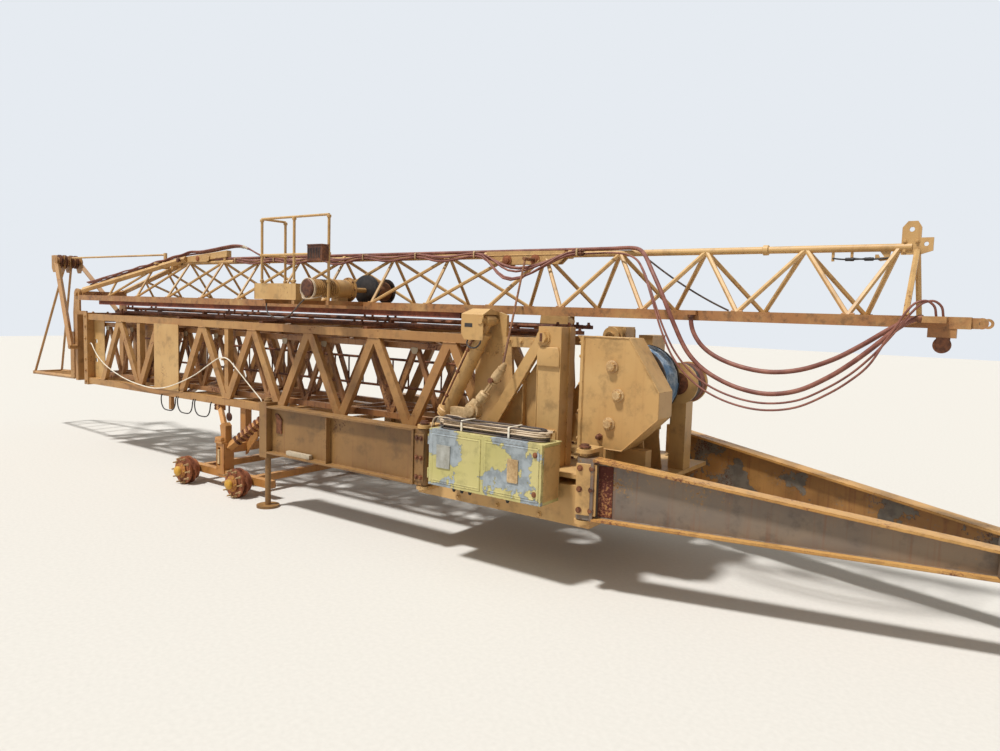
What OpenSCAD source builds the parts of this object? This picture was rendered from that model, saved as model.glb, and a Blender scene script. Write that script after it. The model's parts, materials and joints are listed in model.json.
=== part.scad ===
// Self-erecting tower crane, folded for transport: the mast lies flat, the jib lies over it.
// X runs along the crane towards the base, Y away from the near side, Z up from the ground.
// The origin is on the ground below the middle of the whole crane. Places inside the modules are
// measured from the slewing axis, and place() moves them to the origin.

/* [Mast] */
// Outside width and height of the outer mast section
mast_w = 1200; // [1100:10:1300]
// Square mast chord
mast_chord = 100; // [80:5:120]
// Height of the lying mast's underside above the ground
mast_z = 1080; // [1070:5:1140]
// Length of one bay of mast bracing
mast_pitch = 1170; // [1100:10:1200]
// Bays of mast bracing
mast_bays = 7; // [6:1:7]
// Width of a mast diagonal
mast_brace = 110; // [70:5:130]
// Outside width of the inner mast section
inner_w = 920; // [860:10:960]
// Square chord of the inner mast
inner_chord = 70; // [60:5:80]
// Wall of the foot plates and the head plates
plate_t = 38; // [30:1:40]

/* [Jib] */
// Length of one bay of jib bracing
jib_pitch = 900; // [860:10:920]
// Square bottom chord of the jib
jib_chord = 90; // [70:5:100]
// Distance between the outer faces of the bottom chords
jib_w = 890; // [840:10:940]
// Height of the bottom chords' underside above the ground
jib_z = 2510; // [2500:5:2560]
// Height of the top chord's centre over the bottom chords' underside
jib_h = 650; // [600:10:700]
// Radius of the round top chord
jib_top_r = 32; // [25:1:40]
// Radius of the tubes that brace the jib
jib_tube_r = 20; // [15:1:26]

/* [Hinge and rams] */
// Distance of the mast hinge from the slewing axis
hinge_x = 390; // [380:5:400]
// Height of the mast hinge
hinge_z = 2300; // [2290:5:2310]
// Radius of the mast hinge pin
hinge_pin_r = 45; // [35:1:55]
// Outer radius of a ram barrel
ram_r = 88; // [80:1:92]
// Radius of a ram rod
rod_r = 55; // [40:1:60]
// Distance of each ram's axis from the mast's side
ram_out = 175; // [172:1:180]

/* [Base] */
// Length of the chassis
base_l = 2100; // [2050:10:2200]
// Width of the chassis beside the mast, on each side
side_deck = 350; // [335:5:375]
// Height of the chassis underside above the ground
base_z = 560; // [520:10:600]
// Depth of the chassis beams
base_h = 380; // [360:5:385]
// Distance of the outrigger pins from the side of the chassis
arm_out = 150; // [145:5:165]
// Length of a rear outrigger from its pin to its jack
rear_arm_l = 2520; // [2300:10:2700]
// Length of a front outrigger from its pin to its jack
front_arm_l = 3560; // [3300:10:3600]
// Inward lean of the folded front outriggers, in degrees
front_arm_fold = 14.5; // [12:0.5:15]
// Radius of the hoist drum's flanges
drum_r = 355; // [320:5:360]

/* [Bogie] */
// Distance between the two transport axles
axle_gap = 1180; // [1100:10:1250]
// Radius of a bare wheel hub
hub_r = 190; // [180:5:200]
// Distance of the hubs from the middle of the crane
hub_y = 1030; // [980:10:1060]

/* [Electric cabinet] */
// Length of the cabinet
cabinet_l = 1330; // [1250:10:1340]
// Height of the cabinet
cabinet_h = 560; // [500:10:580]
// Depth of the cabinet body behind its door
cabinet_d = 290; // [250:10:300]

/* [Hidden] */
gap = 0.3;
run = 10;
sheet_t = 12;
mast_top = mast_z + mast_w;
mast_left = -9000;
mast_n0 = -8560;
mast_half = mast_w / 2;
base_w = mast_w + 2 * side_deck;
deck_half = base_w / 2 - 20;
arm_y = base_w / 2 + arm_out;
ram_y = mast_half + ram_out;
inner_half = inner_w / 2;
inner_n0 = -9000;
inner_pitch = mast_pitch / 1.5;
inner_bays = 10;
mast_mid = mast_z + mast_half;
jib_half = jib_w / 2;
jib_left = -9750;
jib_right = 3880;
jib_n0 = -8675;
jib_chord_mid = jib_z + jib_chord / 2;
jib_top = jib_z + jib_h;
jib_chord_y = jib_half - jib_chord / 2;
jib_end = 3400;
wedge_top_x = -6900;
pivot_x = jib_left;
pivot_z = jib_z + 110;
pivot_r = 38;
deck_z = base_z + base_h + 60;
deck_t = 40;
deck_top = deck_z + deck_t;
rear_pin_x = 200 - base_l / 2;
front_pin_x = base_l / 2 + 10;
arm_z = 700;
arm_h = 590;
arm_w = 170;
ram_top_x = -300;
ram_top_z = 2440;
ram_foot_x = -930;
ram_foot_z = 1270;
ram_lean = atan2(ram_top_x - ram_foot_x, ram_top_z - ram_foot_z);
ram_len = norm([ram_top_x - ram_foot_x, ram_top_z - ram_foot_z]);
axle_x = [-5300, -5300 + axle_gap];
rod_eye_l = 100;
clevis_r = 75;
post_y = -mast_half - 200;
post_x = [hinge_x - 60, hinge_x + 200];
drum_x = 1160;
drum_z = 1900;
drum_y = [-430, -100];
ballast_x = 830;
ballast_low = 1290;
ballast_top = 2330;
reel_x = 1470;
reel_r = 205;
motor_r = 90;
cabinet_x = -560;
cabinet_z = 800;
cabinet_y = -arm_y - 260;
door_t = 22;
hinge_y = cabinet_y + door_t / 2;
door_hinge_z = [cabinet_z + 60, cabinet_z + cabinet_h - 160];
winch_x = -2650;
winch_z = 2745;
cage_x = -2500;
cage_y = -970;
cage_r = 17;
lattice_tip = -11900;
tie_bar_r = 24;
tie_bar_seat = 3;
saddle_h = 30;
clip_hose_r = 17;
pad_r = 140;
wheel_studs = 10;
stud_circle_r = 167.5;
rope_r = 8;
hose_r = 20;
hose_start_x = -6450;
hose_end_x = 3570;
hank_r = 110;
hank_h = 80;
rope_peg_r = 14;
rope_peg_x = -5020;
rope_peg_z = 1744;
rope_end_z = 1200;
wedge_r = 48;
wedge_low = pivot_z + 40;
yoke_x0 = -890;
yoke_x1 = 140;
yoke_t = 20;
yoke_face = jib_top_r + gap;
yoke_holes = [-600, -225];
clip_hose_y = -yoke_face - yoke_t - clip_hose_r - 1;
hose_clips = [for (n = [3 : 8]) jib_node(n + 0.5), jib_node(10)];
yoke_hole_z = jib_z + 595;
yoke_hole_r = 20;
saddle_x = -7560;
front_jack_x = front_pin_x + (front_arm_l + 65) * cos(front_arm_fold);
slew_x = -(lattice_tip - 30 + front_jack_x + pad_r) / 2;
slew_y = -(cabinet_y + arm_y + pad_r) / 2;
ochre = "#c8a468";

// Puts the slewing axis in its place, so that the origin is below the middle of the whole crane
module place() {
    translate([slew_x, slew_y, 0])
        children();
}

// A straight tube or bar from p to q, with the given number of sides
module bar(p, q, r, sides = 6) {
    d = q - p;
    translate(p)
        rotate([0, acos(d.z / norm(d)), atan2(d.y, d.x)])
            cylinder(h = norm(d), r = r, $fn = sides);
}

// A flat bar in a plane of constant Y, from p to q as [x, z], centred on y
module flat_bar(p, q, w, t, y) {
    d = q - p;
    translate([p.x, y, p.y])
        rotate([0, -atan2(d.y, d.x), 0])
            translate([0, -t / 2, -w / 2])
                cube([norm(d), t, w]);
}

// A box given by its low and high corners
module box(low, high) {
    translate(low)
        cube(high - low);
}

// A round pin or boss along Y
module pin(x, z, y0, y1, r) {
    translate([x, y0, z])
        rotate([-90, 0, 0])
            cylinder(h = y1 - y0, r = r, $fn = 32);
}

// A plate in a plane of constant Y, from its outline as [x, z]
module plate(points, y0, y1) {
    translate([0, y1, 0])
        rotate([90, 0, 0])
            linear_extrude(height = y1 - y0)
                polygon(points);
}

// The same piece on the near and the far side
module both_sides() {
    children();
    mirror([0, 1, 0])
        children();
}

// BASE

module base_frame() {
    x0 = -base_l / 2;
    half = base_w / 2;
    top = base_z + base_h;
    beam = 260;
    place() color(ochre) {
        difference() {
            union() {
                both_sides()
                    box([x0, -half, base_z], [x0 + base_l, -half + beam, top]);
                for (x = [x0, -beam / 2, x0 + base_l - beam])
                    box([x, -half, base_z], [x + beam, half, top]);
                translate([0, 0, base_z])
                    cylinder(h = deck_z - gap - base_z, r = 620, $fn = 48);
            }
            translate([0, 0, base_z - 1])
                cylinder(h = deck_z - base_z + 2, r = 420, $fn = 48);
        }
        both_sides()
            for (x = [rear_pin_x, front_pin_x])
                outrigger_clevis(x);
        cabinet_bracket();
    }
}

// Two cheeks that hold an outrigger's upright pin
module outrigger_clevis(x) {
    half = base_w / 2;
    for (z = [arm_z - 45, arm_z + arm_h + run])
        difference() {
            union() {
                box([x - clevis_r, -arm_y, z], [x + clevis_r, -half + 60, z + 35]);
                translate([x, -arm_y, z])
                    cylinder(h = 35, r = clevis_r, $fn = 32);
            }
            translate([x, -arm_y, z - 1])
                cylinder(h = 37, r = 30, $fn = 32);
        }
    box([x - clevis_r, -half - 14, arm_z - 45], [x + clevis_r, -half + 60, arm_z + arm_h + run + 35]);
    translate([x, -arm_y, arm_z - 60])
        cylinder(h = arm_h + run + 110, r = 30, $fn = 32);
}

module cabinet_bracket() {
    for (x = [cabinet_x + 260, cabinet_x + cabinet_l - 170])
        box([x, cabinet_y + 100, base_z + 200], [x + 80, -base_w / 2, cabinet_z - gap]);
}

module slew_platform() {
    place() color(ochre) {
        difference() {
            union() {
                box([-base_l / 2, -deck_half + 80, deck_z], [base_l / 2 + 50, deck_half - 80, deck_top]);
                box([-700, -deck_half, deck_z], [900, deck_half, deck_top]);
                box([1000, -600, deck_z], [reel_x + 90, 600, deck_top]);
            }
            translate([0, 0, deck_z - 1])
                cylinder(h = deck_t + 2, r = 300, $fn = 48);
        }
        box([ballast_x, -780, deck_z], [1100, -470, ballast_low - gap]);
        box([ballast_x, -600, deck_z], [1420, -470, ballast_low - gap]);
        box([ballast_x, 470, deck_z], [ballast_x + 120, 780, ballast_low - gap]);
        both_sides()
            ram_foot_bracket();
    }
}

// The lower clevis of a ram stands on the platform
module ram_foot_bracket() {
    for (y = [-ram_y - 62, -ram_y + 38])
        plate([[ram_foot_x - 110, deck_top], [ram_foot_x + 130, deck_top],
            [ram_foot_x + 60, ram_foot_z + 45], [ram_foot_x - 60, ram_foot_z + 45]],
            y, y + 24);
}

module hinge_posts() {
    y0 = post_y;
    y1 = y0 + 150;
    x0 = post_x[0];
    x1 = post_x[1];
    top = hinge_z + 105;
    place() color(ochre)
        both_sides() {
            difference() {
                union() {
                    box([x0, y0, deck_top], [x1, y1, top]);
                    box([x1 - 30, y1 - 1, deck_top], [x1 + 10, y1 + 100, top]);
                    plate([[x0 + 1, hinge_z + 40], [x0 + 1, hinge_z - 150], [-150, 1400], [-290, 1400]],
                        y0, y0 + 60);
                    plate([[-280, deck_top], [x0 + 1, deck_top], [x0 + 1, hinge_z - 150], [-200, 1400],
                        [-280, 1400]], y0 + 110, y0 + 122);
                    box([120, y0 + 59, deck_top], [135, y0 + 111, 1855]);
                }
                pin(hinge_x, hinge_z, y0 - 1, y1 + 1, hinge_pin_r);
            }
            post_foot_plate(x0, x1 - 20, y0);
            pin(hinge_x, hinge_z, y0 - 40, -560, hinge_pin_r);
            pin(hinge_x, hinge_z, y0 - 15, y0, hinge_pin_r + 30);
            translate([hinge_x, y0, hinge_z])
                rotate([90, 0, 0])
                    cylinder(h = 50, r = hinge_pin_r + 12, $fn = 6);
        }
}

// Slotted plate at the foot of a hinge post
module post_foot_plate(x0, x1, y0) {
    difference() {
        box([x0, y0 - 12, deck_top], [x1, y0, 1400]);
        box([x0 + 105, y0 - 13, 1265], [x0 + 140, y0 + 1, 1330]);
        box([x0 + 185, y0 - 13, 1190], [x0 + 205, y0 + 1, 1370]);
    }
}

module ballast_boxes() {
    x = ballast_x;
    outline = [[x, ballast_low], [x + 430, ballast_low], [x + 770, ballast_low + 330],
        [x + 770, ballast_low + 570], [x + 460, ballast_top], [x, ballast_top]];
    place() color(ochre) {
        plate(outline, -775, -475);
        box([x - 30, -790, ballast_low], [x, -460, ballast_top]);
        for (p = [[1131, 2062], [1202, 1804], [1121, 1532]])
            ballast_bolt(p);
        box([x - 30, 460, ballast_low], [x + 130, 790, ballast_top]);
        plate([[x - 190, ballast_top], [x - 29, ballast_top], [x - 29, ballast_top - 200]], -580, -560);
        plate([[x - 190, 1560], [x - 29, 1560], [x - 29, 1410], [x - 110, 1410]], -580, -560);
    }
}

// Bolt head on its round washer, on the near face of the ballast box
module ballast_bolt(p) {
    translate([p.x, -775, p.y])
        rotate([90, 0, 0]) {
            cylinder(h = 14, r = 58, $fn = 32);
            cylinder(h = 48, r = 42, $fn = 6);
        }
}

module hoist_drum() {
    place() color("#6d6a66")
        difference() {
            union() {
                pin(drum_x, drum_z, drum_y[0] + 20, drum_y[1] - 20, drum_r - 15);
                for (y = [drum_y[0], drum_y[1] - 22])
                    pin(drum_x, drum_z, y, y + 22, drum_r);
            }
            pin(drum_x, drum_z, drum_y[0] - 1, drum_y[1] + 1, 41);
        }
}

module hoist_stand() {
    cheek = 20;
    place() color(ochre) {
        for (y = [drum_y[0] - 5 - cheek, drum_y[1] + 5])
            plate([[drum_x - 170, deck_top], [drum_x + 200, deck_top], [drum_x + 80, drum_z + 80],
                [drum_x - 80, drum_z + 80]], y, y + cheek);
        pin(drum_x, drum_z, drum_y[0] - 5 - cheek, drum_y[1] + 5 + cheek, 40);
        pin(drum_x, drum_z, drum_y[1] + 5 + cheek, drum_y[1] + 420, motor_r);
        cable_reel();
    }
}

// Cable reel on its own pedestal beside the drum
module cable_reel() {
    box([reel_x - 80, 0, deck_top], [reel_x + 80, 170, drum_z - 100]);
    pin(reel_x, drum_z - 10, -40, 210, reel_r - 25);
    for (y = [-50, 200])
        pin(reel_x, drum_z - 10, y, y + 20, reel_r);
}

module electric_cabinet() {
    x1 = cabinet_x + cabinet_l;
    y0 = cabinet_y + door_t + gap;
    place() color("#b9ab55") {
        difference() {
            box([cabinet_x, y0, cabinet_z], [x1, y0 + cabinet_d, cabinet_z + cabinet_h]);
            box([cabinet_x + 15, y0 - 1, cabinet_z + 15],
                [x1 - 15, y0 + cabinet_d - 15, cabinet_z + cabinet_h - 15]);
        }
        for (z = door_hinge_z) {
            door_knuckle(z);
            box([cabinet_x - 12, hinge_y, z], [cabinet_x - 1, y0 + 40, z + 50]);
            box([cabinet_x - 12, y0, z], [cabinet_x, y0 + 40, z + 50]);
        }
    }
}

// One half of a hinge knuckle, on the door's axis
module door_knuckle(z) {
    translate([cabinet_x - 12, hinge_y, z])
        cylinder(h = 50, r = door_t / 2, $fn = 24);
}

module cabinet_door() {
    x1 = cabinet_x + cabinet_l;
    place() color("#c9bb5d") {
        box([cabinet_x, cabinet_y, cabinet_z], [x1, cabinet_y + door_t, cabinet_z + cabinet_h]);
        for (z = door_hinge_z) {
            door_knuckle(z + 51);
            box([cabinet_x - 12, hinge_y - 5, z + 51], [cabinet_x + 1, hinge_y + 5, z + 101]);
        }
    }
}

// OUTRIGGERS

// An arm lies along +X from its pin at the origin; its flanges taper from the root to the tip
module outrigger_arm(len, h_root, h_tip, rise) {
    w = arm_w / 2;
    t = 22;
    color(ochre) {
        difference() {
            union() {
                plate([[90, 0], [len, rise], [len, rise + h_tip], [90, h_root]], -8, 8);
                plate([[90, 0], [len, rise], [len, rise + t], [90, t]], -w, w);
                plate([[90, h_root - t], [len, rise + h_tip - t], [len, rise + h_tip],
                    [90, h_root]], -w, w);
                box([80, -w, 0], [110, w, h_root]);
                translate([0, 0, 0])
                    cylinder(h = h_root, r = 62, $fn = 32);
                box([0, -62, 0], [90, 62, h_root]);
            }
            translate([0, 0, -1])
                cylinder(h = h_root + 2, r = 31, $fn = 32);
        }
        jack(len, rise, h_tip);
    }
}

// The jack at an arm's end: tube, screw and foot plate on the ground
module jack(len, rise, h_tip) {
    low = -arm_z;
    box([len - 10, -85, rise - 60], [len + 130, 85, rise + h_tip + 40]);
    translate([len + 65, 0, low + 20])
        cylinder(h = rise - 60 - low - 20, r = 36, $fn = 32);
    translate([len + 65, 0, low])
        cylinder(h = 30, r = pad_r, $fn = 32);
}

module outrigger_rear() {
    translate([rear_pin_x, -arm_y, arm_z])
        mirror([1, 0, 0])
            outrigger_arm(rear_arm_l, arm_h, arm_h, 0);
}

module outrigger_front() {
    translate([front_pin_x, -arm_y, arm_z])
        rotate([0, 0, front_arm_fold])
            outrigger_arm(front_arm_l, arm_h - 30, 200, -60);
}

module outrigger_rear_near() { place() outrigger_rear(); }
module outrigger_rear_far() { place() mirror([0, 1, 0]) outrigger_rear(); }
module outrigger_front_near() { place() outrigger_front(); }
module outrigger_front_far() { place() mirror([0, 1, 0]) outrigger_front(); }

// OUTER MAST

function mast_node(k) = mast_n0 + k * mast_pitch;

module mast_side() {
    y0 = -mast_half;
    y1 = y0 + mast_chord;
    ym = (y0 + y1) / 2;
    zb = mast_z + mast_chord / 2;
    zt = mast_top - mast_chord / 2;
    color(ochre) {
        box([mast_left, y0, mast_z], [-140, y1, mast_z + mast_chord]);
        box([mast_left, y0, mast_top - mast_chord], [300, y1, mast_top]);
        for (k = [0 : mast_bays - 1]) {
            flat_bar([mast_node(k), zb], [mast_node(k + 0.5), zt], mast_brace, 60, ym - 18);
            flat_bar([mast_node(k + 0.5), zt], [mast_node(k + 1), zb], mast_brace, 60, ym - 18);
        }
        for (x = [mast_node(1), mast_node(3)])
            box([x - 45, y0 + 8, mast_z], [x + 45, y1 - 8, mast_top]);
    }
}

// Peg that carries the rope's crown, and the cleat on the bottom chord where it ends
module rope_fittings() {
    color(ochre) {
        pin(rope_peg_x, rope_peg_z, -690, -mast_half + 20, rope_peg_r);
        box([-4230, -685, mast_z + 20], [-4130, -mast_half, rope_end_z - gap]);
    }
}

module mast_side_near() {
    place() {
        mast_side();
        rope_fittings();
    }
}

module mast_side_far() { place() mirror([0, 1, 0]) mast_side(); }

// Cross bars and diagonals between the two sides, in a slab from z0 to z0 + t
module cross_face(half, x0, pitch, n, z0, t, w) {
    intersection() {
        union() {
            for (k = [0 : n])
                box([x0 + k * pitch - w / 2, -half, z0], [x0 + k * pitch + w / 2, half, z0 + t]);
            for (k = [0 : n - 1])
                cross_diagonal([x0 + k * pitch, k % 2 == 0 ? -half : half],
                    [x0 + (k + 1) * pitch, k % 2 == 0 ? half : -half], w, z0, t);
        }
        box([x0 - pitch, -half + gap, z0], [x0 + (n + 1) * pitch, half - gap, z0 + t]);
    }
}

module cross_diagonal(p, q, w, z0, t) {
    d = q - p;
    translate([p.x, p.y, z0])
        rotate([0, 0, atan2(d.y, d.x)])
            translate([0, -w / 2, 0])
                cube([norm(d), w, t]);
}

module mast_top_face() {
    place() color(ochre)
        cross_face(mast_half - mast_chord, mast_node(0), mast_pitch, mast_bays, mast_top - 80, 60, 70);
}

module mast_bottom_face() {
    place() color(ochre)
        cross_face(mast_half - mast_chord, mast_node(0), mast_pitch, mast_bays - 1, mast_z + 10, 60, 70);
}

// Foot plates outside the chords, with the hinge lugs and the ram heads' boxes
module mast_foot() {
    y1 = -mast_half - gap;
    y0 = y1 - plate_t;
    place() color(ochre) {
        both_sides() {
            difference() {
                union() {
                    plate([[-560, mast_z + 10], [-140, mast_z + 10], [-60, 1700], [-100, 2180],
                        [300, 2180], [hinge_x, hinge_z - 100], [hinge_x, hinge_z + 100],
                        [300, 2280], [-170, 2280], [-170, 2330], [-560, 2330]], y0, y1);
                    pin(hinge_x, hinge_z, y0, y1, 100);
                }
                pin(hinge_x, hinge_z, y0 - 1, y1 + 1, hinge_pin_r + 1);
            }
            ram_head_box(y0);
        }
        box([-520, -mast_half + mast_chord + gap, mast_z + 10],
            [-450, mast_half - mast_chord - gap, mast_z + 90]);
        box([-200, -mast_half + mast_chord + gap, mast_top - 90],
            [-130, mast_half - mast_chord - gap, mast_top - 10]);
    }
}

// The roofed box that carries a ram's head, open below and to the left
module ram_head_box(y1) {
    y0 = -ram_y - 140;
    x0 = ram_top_x - 245;
    x1 = ram_top_x + 35;
    eave = ram_top_z + 60;
    ridge_y = y0 + 125;
    difference() {
        union() {
            plate([[x0, 2300], [x0 + 45, 2240], [x1, 2240], [x1, eave], [x0, eave]], y0, y0 + 14);
            along_x([[y0, eave], [ridge_y, eave + 60], [y1 + 1, eave + 30], [y1 + 1, eave + 14],
                [ridge_y, eave + 44], [y0, eave - 16]], x0, x1);
            along_x([[y0, eave - 1], [ridge_y, eave + 59], [y1 + 1, eave + 29], [y1 + 1, eave - 1]],
                x1 - 14, x1);
            along_x([[y0, eave - 120], [y0, eave - 1], [ridge_y, eave + 59], [y1 + 1, eave + 29],
                [y1 + 1, eave - 120]], x0, x0 + 14);
        }
        translate([x0, y0, eave + 60])
            rotate([0, 45, 0])
                cube([70, 700, 70], center = true);
    }
    plate([[x0 - 15, 2320], [ram_top_x + 135, 2320], [ram_top_x + 135, eave], [x1, eave + 30],
        [x0, eave + 30], [x0 - 15, 2400]], y1, y1 + plate_t);
    pin(ram_top_x, ram_top_z, y0 - 12, y1 + 1, 34);
}

// A profile in the plane across the crane, given as [y, z], run from x0 to x1
module along_x(points, x0, x1) {
    translate([x0, 0, 0])
        rotate([90, 0, 90])
            linear_extrude(height = x1 - x0)
                polygon(points);
}

// End frame of the outer mast, with the pads that guide the inner mast
module mast_collar() {
    x0 = mast_left - 120;
    x1 = mast_left - gap;
    h = mast_half + 20;
    pad = inner_half + gap;
    place() color(ochre) {
        difference() {
            box([x0, -h, mast_mid - h], [x1, h, mast_mid + h]);
            box([x0 - 1, -pad, mast_mid - pad], [x1 + 1, pad, mast_mid + pad]);
        }
    }
}

module mast_side_panel() {
    y1 = -mast_half - gap;
    inner = -mast_half + mast_chord + gap;
    place() color(ochre) {
        box([-6900, y1 - sheet_t, mast_z + 100], [-6230, y1, mast_top - 90]);
        difference() {
            box([mast_left + 10, inner, mast_z + 50], [mast_left + 350, inner + sheet_t, mast_top - 70]);
            for (z = [mast_z + 405, mast_z + 730])
                pin(mast_left + 70, z, inner - 1, inner + sheet_t + 1, 40);
        }
    }
}

// Long tie bars laid on saddles on the mast's top, with pinned joints along them
module tie_bars() {
    z0 = mast_top + gap;
    z1 = z0 + saddle_h;
    bars = [[-300, 0], [-120, 60], [110, 0], [300, 60]];
    place() color("#8a5a3c") {
        for (x = [-8300, -6300, -4300, -2300, -400]) {
            box([x - 35, -mast_half + 30, z0], [x + 35, mast_half - 30, z1]);
            for (b = bars)
                box([x - 25, b[0] - 30, z1 - 1], [x + 25, b[0] + 30, z1 + b[1] + 12]);
        }
        for (b = bars) {
            z = z1 + b[1] + tie_bar_r - tie_bar_seat;
            bar([-8500, b[0], z], [200, b[0], z], tie_bar_r, 8);
            for (x = [-8500, -5600, -2700, 200])
                box([x - 110, b[0] - 32, z - 20], [x + 110, b[0] + 32, z + 20]);
        }
    }
}

// INNER MAST

module inner_side() {
    y0 = -inner_half;
    y1 = y0 + inner_chord;
    ym = (y0 + y1) / 2;
    zb = mast_mid - inner_half;
    zt = mast_mid + inner_half;
    color(ochre) {
        for (z = [zb, zt - inner_chord])
            box([-9420, y0, z], [-900, y1, z + inner_chord]);
        for (k = [0 : inner_bays - 1]) {
            low = [inner_n0 + k * inner_pitch, zb + inner_chord / 2];
            mid = [low.x + inner_pitch / 2, zt - inner_chord / 2];
            flat_bar(low, mid, 60, 40, ym);
            flat_bar(mid, low + [inner_pitch, 0], 60, 40, ym);
        }
    }
}

module inner_side_near() { place() inner_side(); }
module inner_side_far() { place() mirror([0, 1, 0]) inner_side(); }

module inner_top_face() {
    place() color(ochre)
        cross_face(inner_half - inner_chord, inner_n0, inner_pitch, inner_bays, mast_mid + inner_half - 60,
            40, 45);
}

module inner_bottom_face() {
    place() color(ochre)
        cross_face(inner_half - inner_chord, inner_n0, inner_pitch, inner_bays, mast_mid - inner_half + 20,
            40, 45);
}

// Frame at the mast's top end: end posts, plates and the jib's pivot lugs
module mast_head() {
    x1 = -9420 - gap;
    x0 = x1 - 90;
    h = inner_half + 120;
    lug_y = 400;
    place() color(ochre) {
        difference() {
            box([x0, -h, mast_mid - h], [x1, h, mast_mid + h]);
            box([x0 - 1, -h + 120, mast_mid - h + 120], [x1 + 1, h - 120, mast_mid + h - 120]);
        }
        both_sides() {
            difference() {
                union() {
                    plate([[x0 - 380, mast_mid + 200], [x1, mast_mid + 200], [x1, mast_top + 40],
                        [pivot_x + 95, mast_top + 40], [pivot_x + 95, pivot_z], [pivot_x - 95, pivot_z],
                        [x0 - 380, mast_top]], -lug_y - 30, -lug_y);
                    pin(pivot_x, pivot_z, -lug_y - 30, -lug_y, 95);
                }
                pin(pivot_x, pivot_z, -lug_y - 31, -lug_y + 1, pivot_r);
            }
            plate([[x0 - 380, mast_mid - 560], [x0 - 240, mast_mid - 560], [x0 - 240, mast_mid + 260],
                [x0 - 380, mast_mid + 260]], -lug_y - 90, -lug_y);
            box([x0 - 380, -lug_y - 60, mast_mid - 560], [x0, -lug_y, mast_mid - 480]);
        }
        pin(pivot_x, pivot_z, -lug_y - 60, lug_y + 60, pivot_r);
    }
}

// A-frame strut over the mast head, with a pulley head at its top
module head_strut() {
    apex = [-11000, 0, 3230];
    foot = [-9465, -670, 1690];
    place() color(ochre) {
        both_sides() {
            bar(foot, apex + [0, -200, 0], 50, 4);
            pin(foot.x, foot.z, foot.y - 40, -inner_half - 120 - gap, 38);
        }
        bar(apex + [0, -250, 0], apex + [0, 250, 0], 75, 12);
    }
}

module head_lattice() {
    z = mast_z + 30;
    tip = lattice_tip;
    root = -9890 - gap;
    place() color(ochre) {
        difference() {
            both_sides()
                bar([root + 100, -428, z + 3], [tip, -250, z - 60], 34, 4);
            box([root, -600, 0], [root + 300, 600, 2000]);
        }
        box([tip - 30, -280, z - 90], [tip + 30, 280, z - 30]);
        for (k = [1 : 4]) {
            x = root + k * (tip - root) / 5;
            bar([x, -420 + k * 34, z - 12 * k], [x, 420 - k * 34, z - 12 * k], 20, 4);
        }
        both_sides()
            bar([tip, -250, z - 60], [-11000, -60, 3230 - 90], 22, 6);
    }
}

// JIB

function jib_node(n) = jib_n0 + n * jib_pitch;

// Height of the sloping wedge tube over a place on the jib's foot
function wedge_z(x) = wedge_low + (jib_top + 60 - wedge_low) * (x - jib_left) / (wedge_top_x - jib_left);
function wedge_y(x) = -jib_chord_y * (wedge_top_x - x) / (wedge_top_x - jib_left);
function top_point(x) = x < wedge_top_x ? [x, wedge_y(x), wedge_z(x)] : [x, 0, jib_top];
function low_point(x) = [x, -jib_chord_y, jib_z + jib_chord - 10];

module jib_side(flip) {
    color(ochre)
        difference() {
            union() {
                box([jib_left + 120, -jib_half, jib_z],
                    [jib_right, -jib_half + jib_chord, jib_z + jib_chord]);
                bar([jib_left + 135, wedge_y(jib_left + 135), wedge_z(jib_left + 135)],
                    [wedge_top_x, -60, wedge_z(wedge_top_x)], wedge_r, 4);
                for (n = [0 : 8]) {
                    a = jib_node(n);
                    b = jib_node(n + 1);
                    bar(low_point(a), top_point(a), jib_tube_r, 6);
                    if (flip)
                        bar(low_point(b), top_point(a), jib_tube_r, 6);
                    else
                        bar(low_point(a), top_point(b), jib_tube_r, 6);
                }
                for (n = [9 : 12]) {
                    bar(low_point(jib_node(n)), top_point(jib_node(n + 0.5)), jib_tube_r + 2, 6);
                    bar(low_point(jib_node(n + 1)), top_point(jib_node(n + 0.5)), jib_tube_r + 2, 6);
                }
                bar(low_point(jib_node(13)), top_point(jib_end - 90), jib_tube_r + 2, 6);
            }
            translate([wedge_top_x - 400, 0, jib_top])
                rotate([0, 90, 0])
                    cylinder(h = 12000, r = jib_top_r + gap, $fn = 24);
            box([jib_left, -gap / 2, 0], [jib_right + 100, 500, 5000]);
            box([yoke_x0 - gap, -yoke_face - yoke_t - gap, 3060 - gap], [yoke_x1 + gap, 1, 3400]);
        }
}

// Clip on the bottom chord, which the short hose hangs from
module hose_clip() {
    color(ochre)
        box([1690, -500, jib_z + 50], [1790, -jib_half + 1, jib_z + jib_chord]);
}

module jib_side_near() {
    place() {
        jib_side(false);
        hose_clip();
    }
}

module jib_side_far() { place() mirror([0, 1, 0]) jib_side(true); }

module jib_top_chord() {
    place() color(ochre) {
        translate([wedge_top_x - 100, 0, jib_top])
            rotate([0, 90, 0])
                cylinder(h = jib_end - wedge_top_x + 100, r = jib_top_r, $fn = 24);
        box([hose_start_x - 60, -25, jib_top], [hose_start_x - gap, 25, jib_top + jib_top_r + 2 * hose_r]);
        chord_hook();
        for (x = [2800, 2950])
            box([x - 10, -12, jib_top - jib_top_r - 75], [x + 10, 12, jib_top - 5]);
        for (x = hose_clips)
            clip(x);
    }
}

// Hook below the end of the top chord
module chord_hook() {
    plate([[3150, jib_top - 10], [3250, jib_top - 10], [3235, jib_top - 100], [3170, jib_top - 110],
        [3130, jib_top - 85], [3130, jib_top - 55], [3155, jib_top - 55], [3165, jib_top - 80],
        [3200, jib_top - 75]], -10, 10);
}

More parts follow.
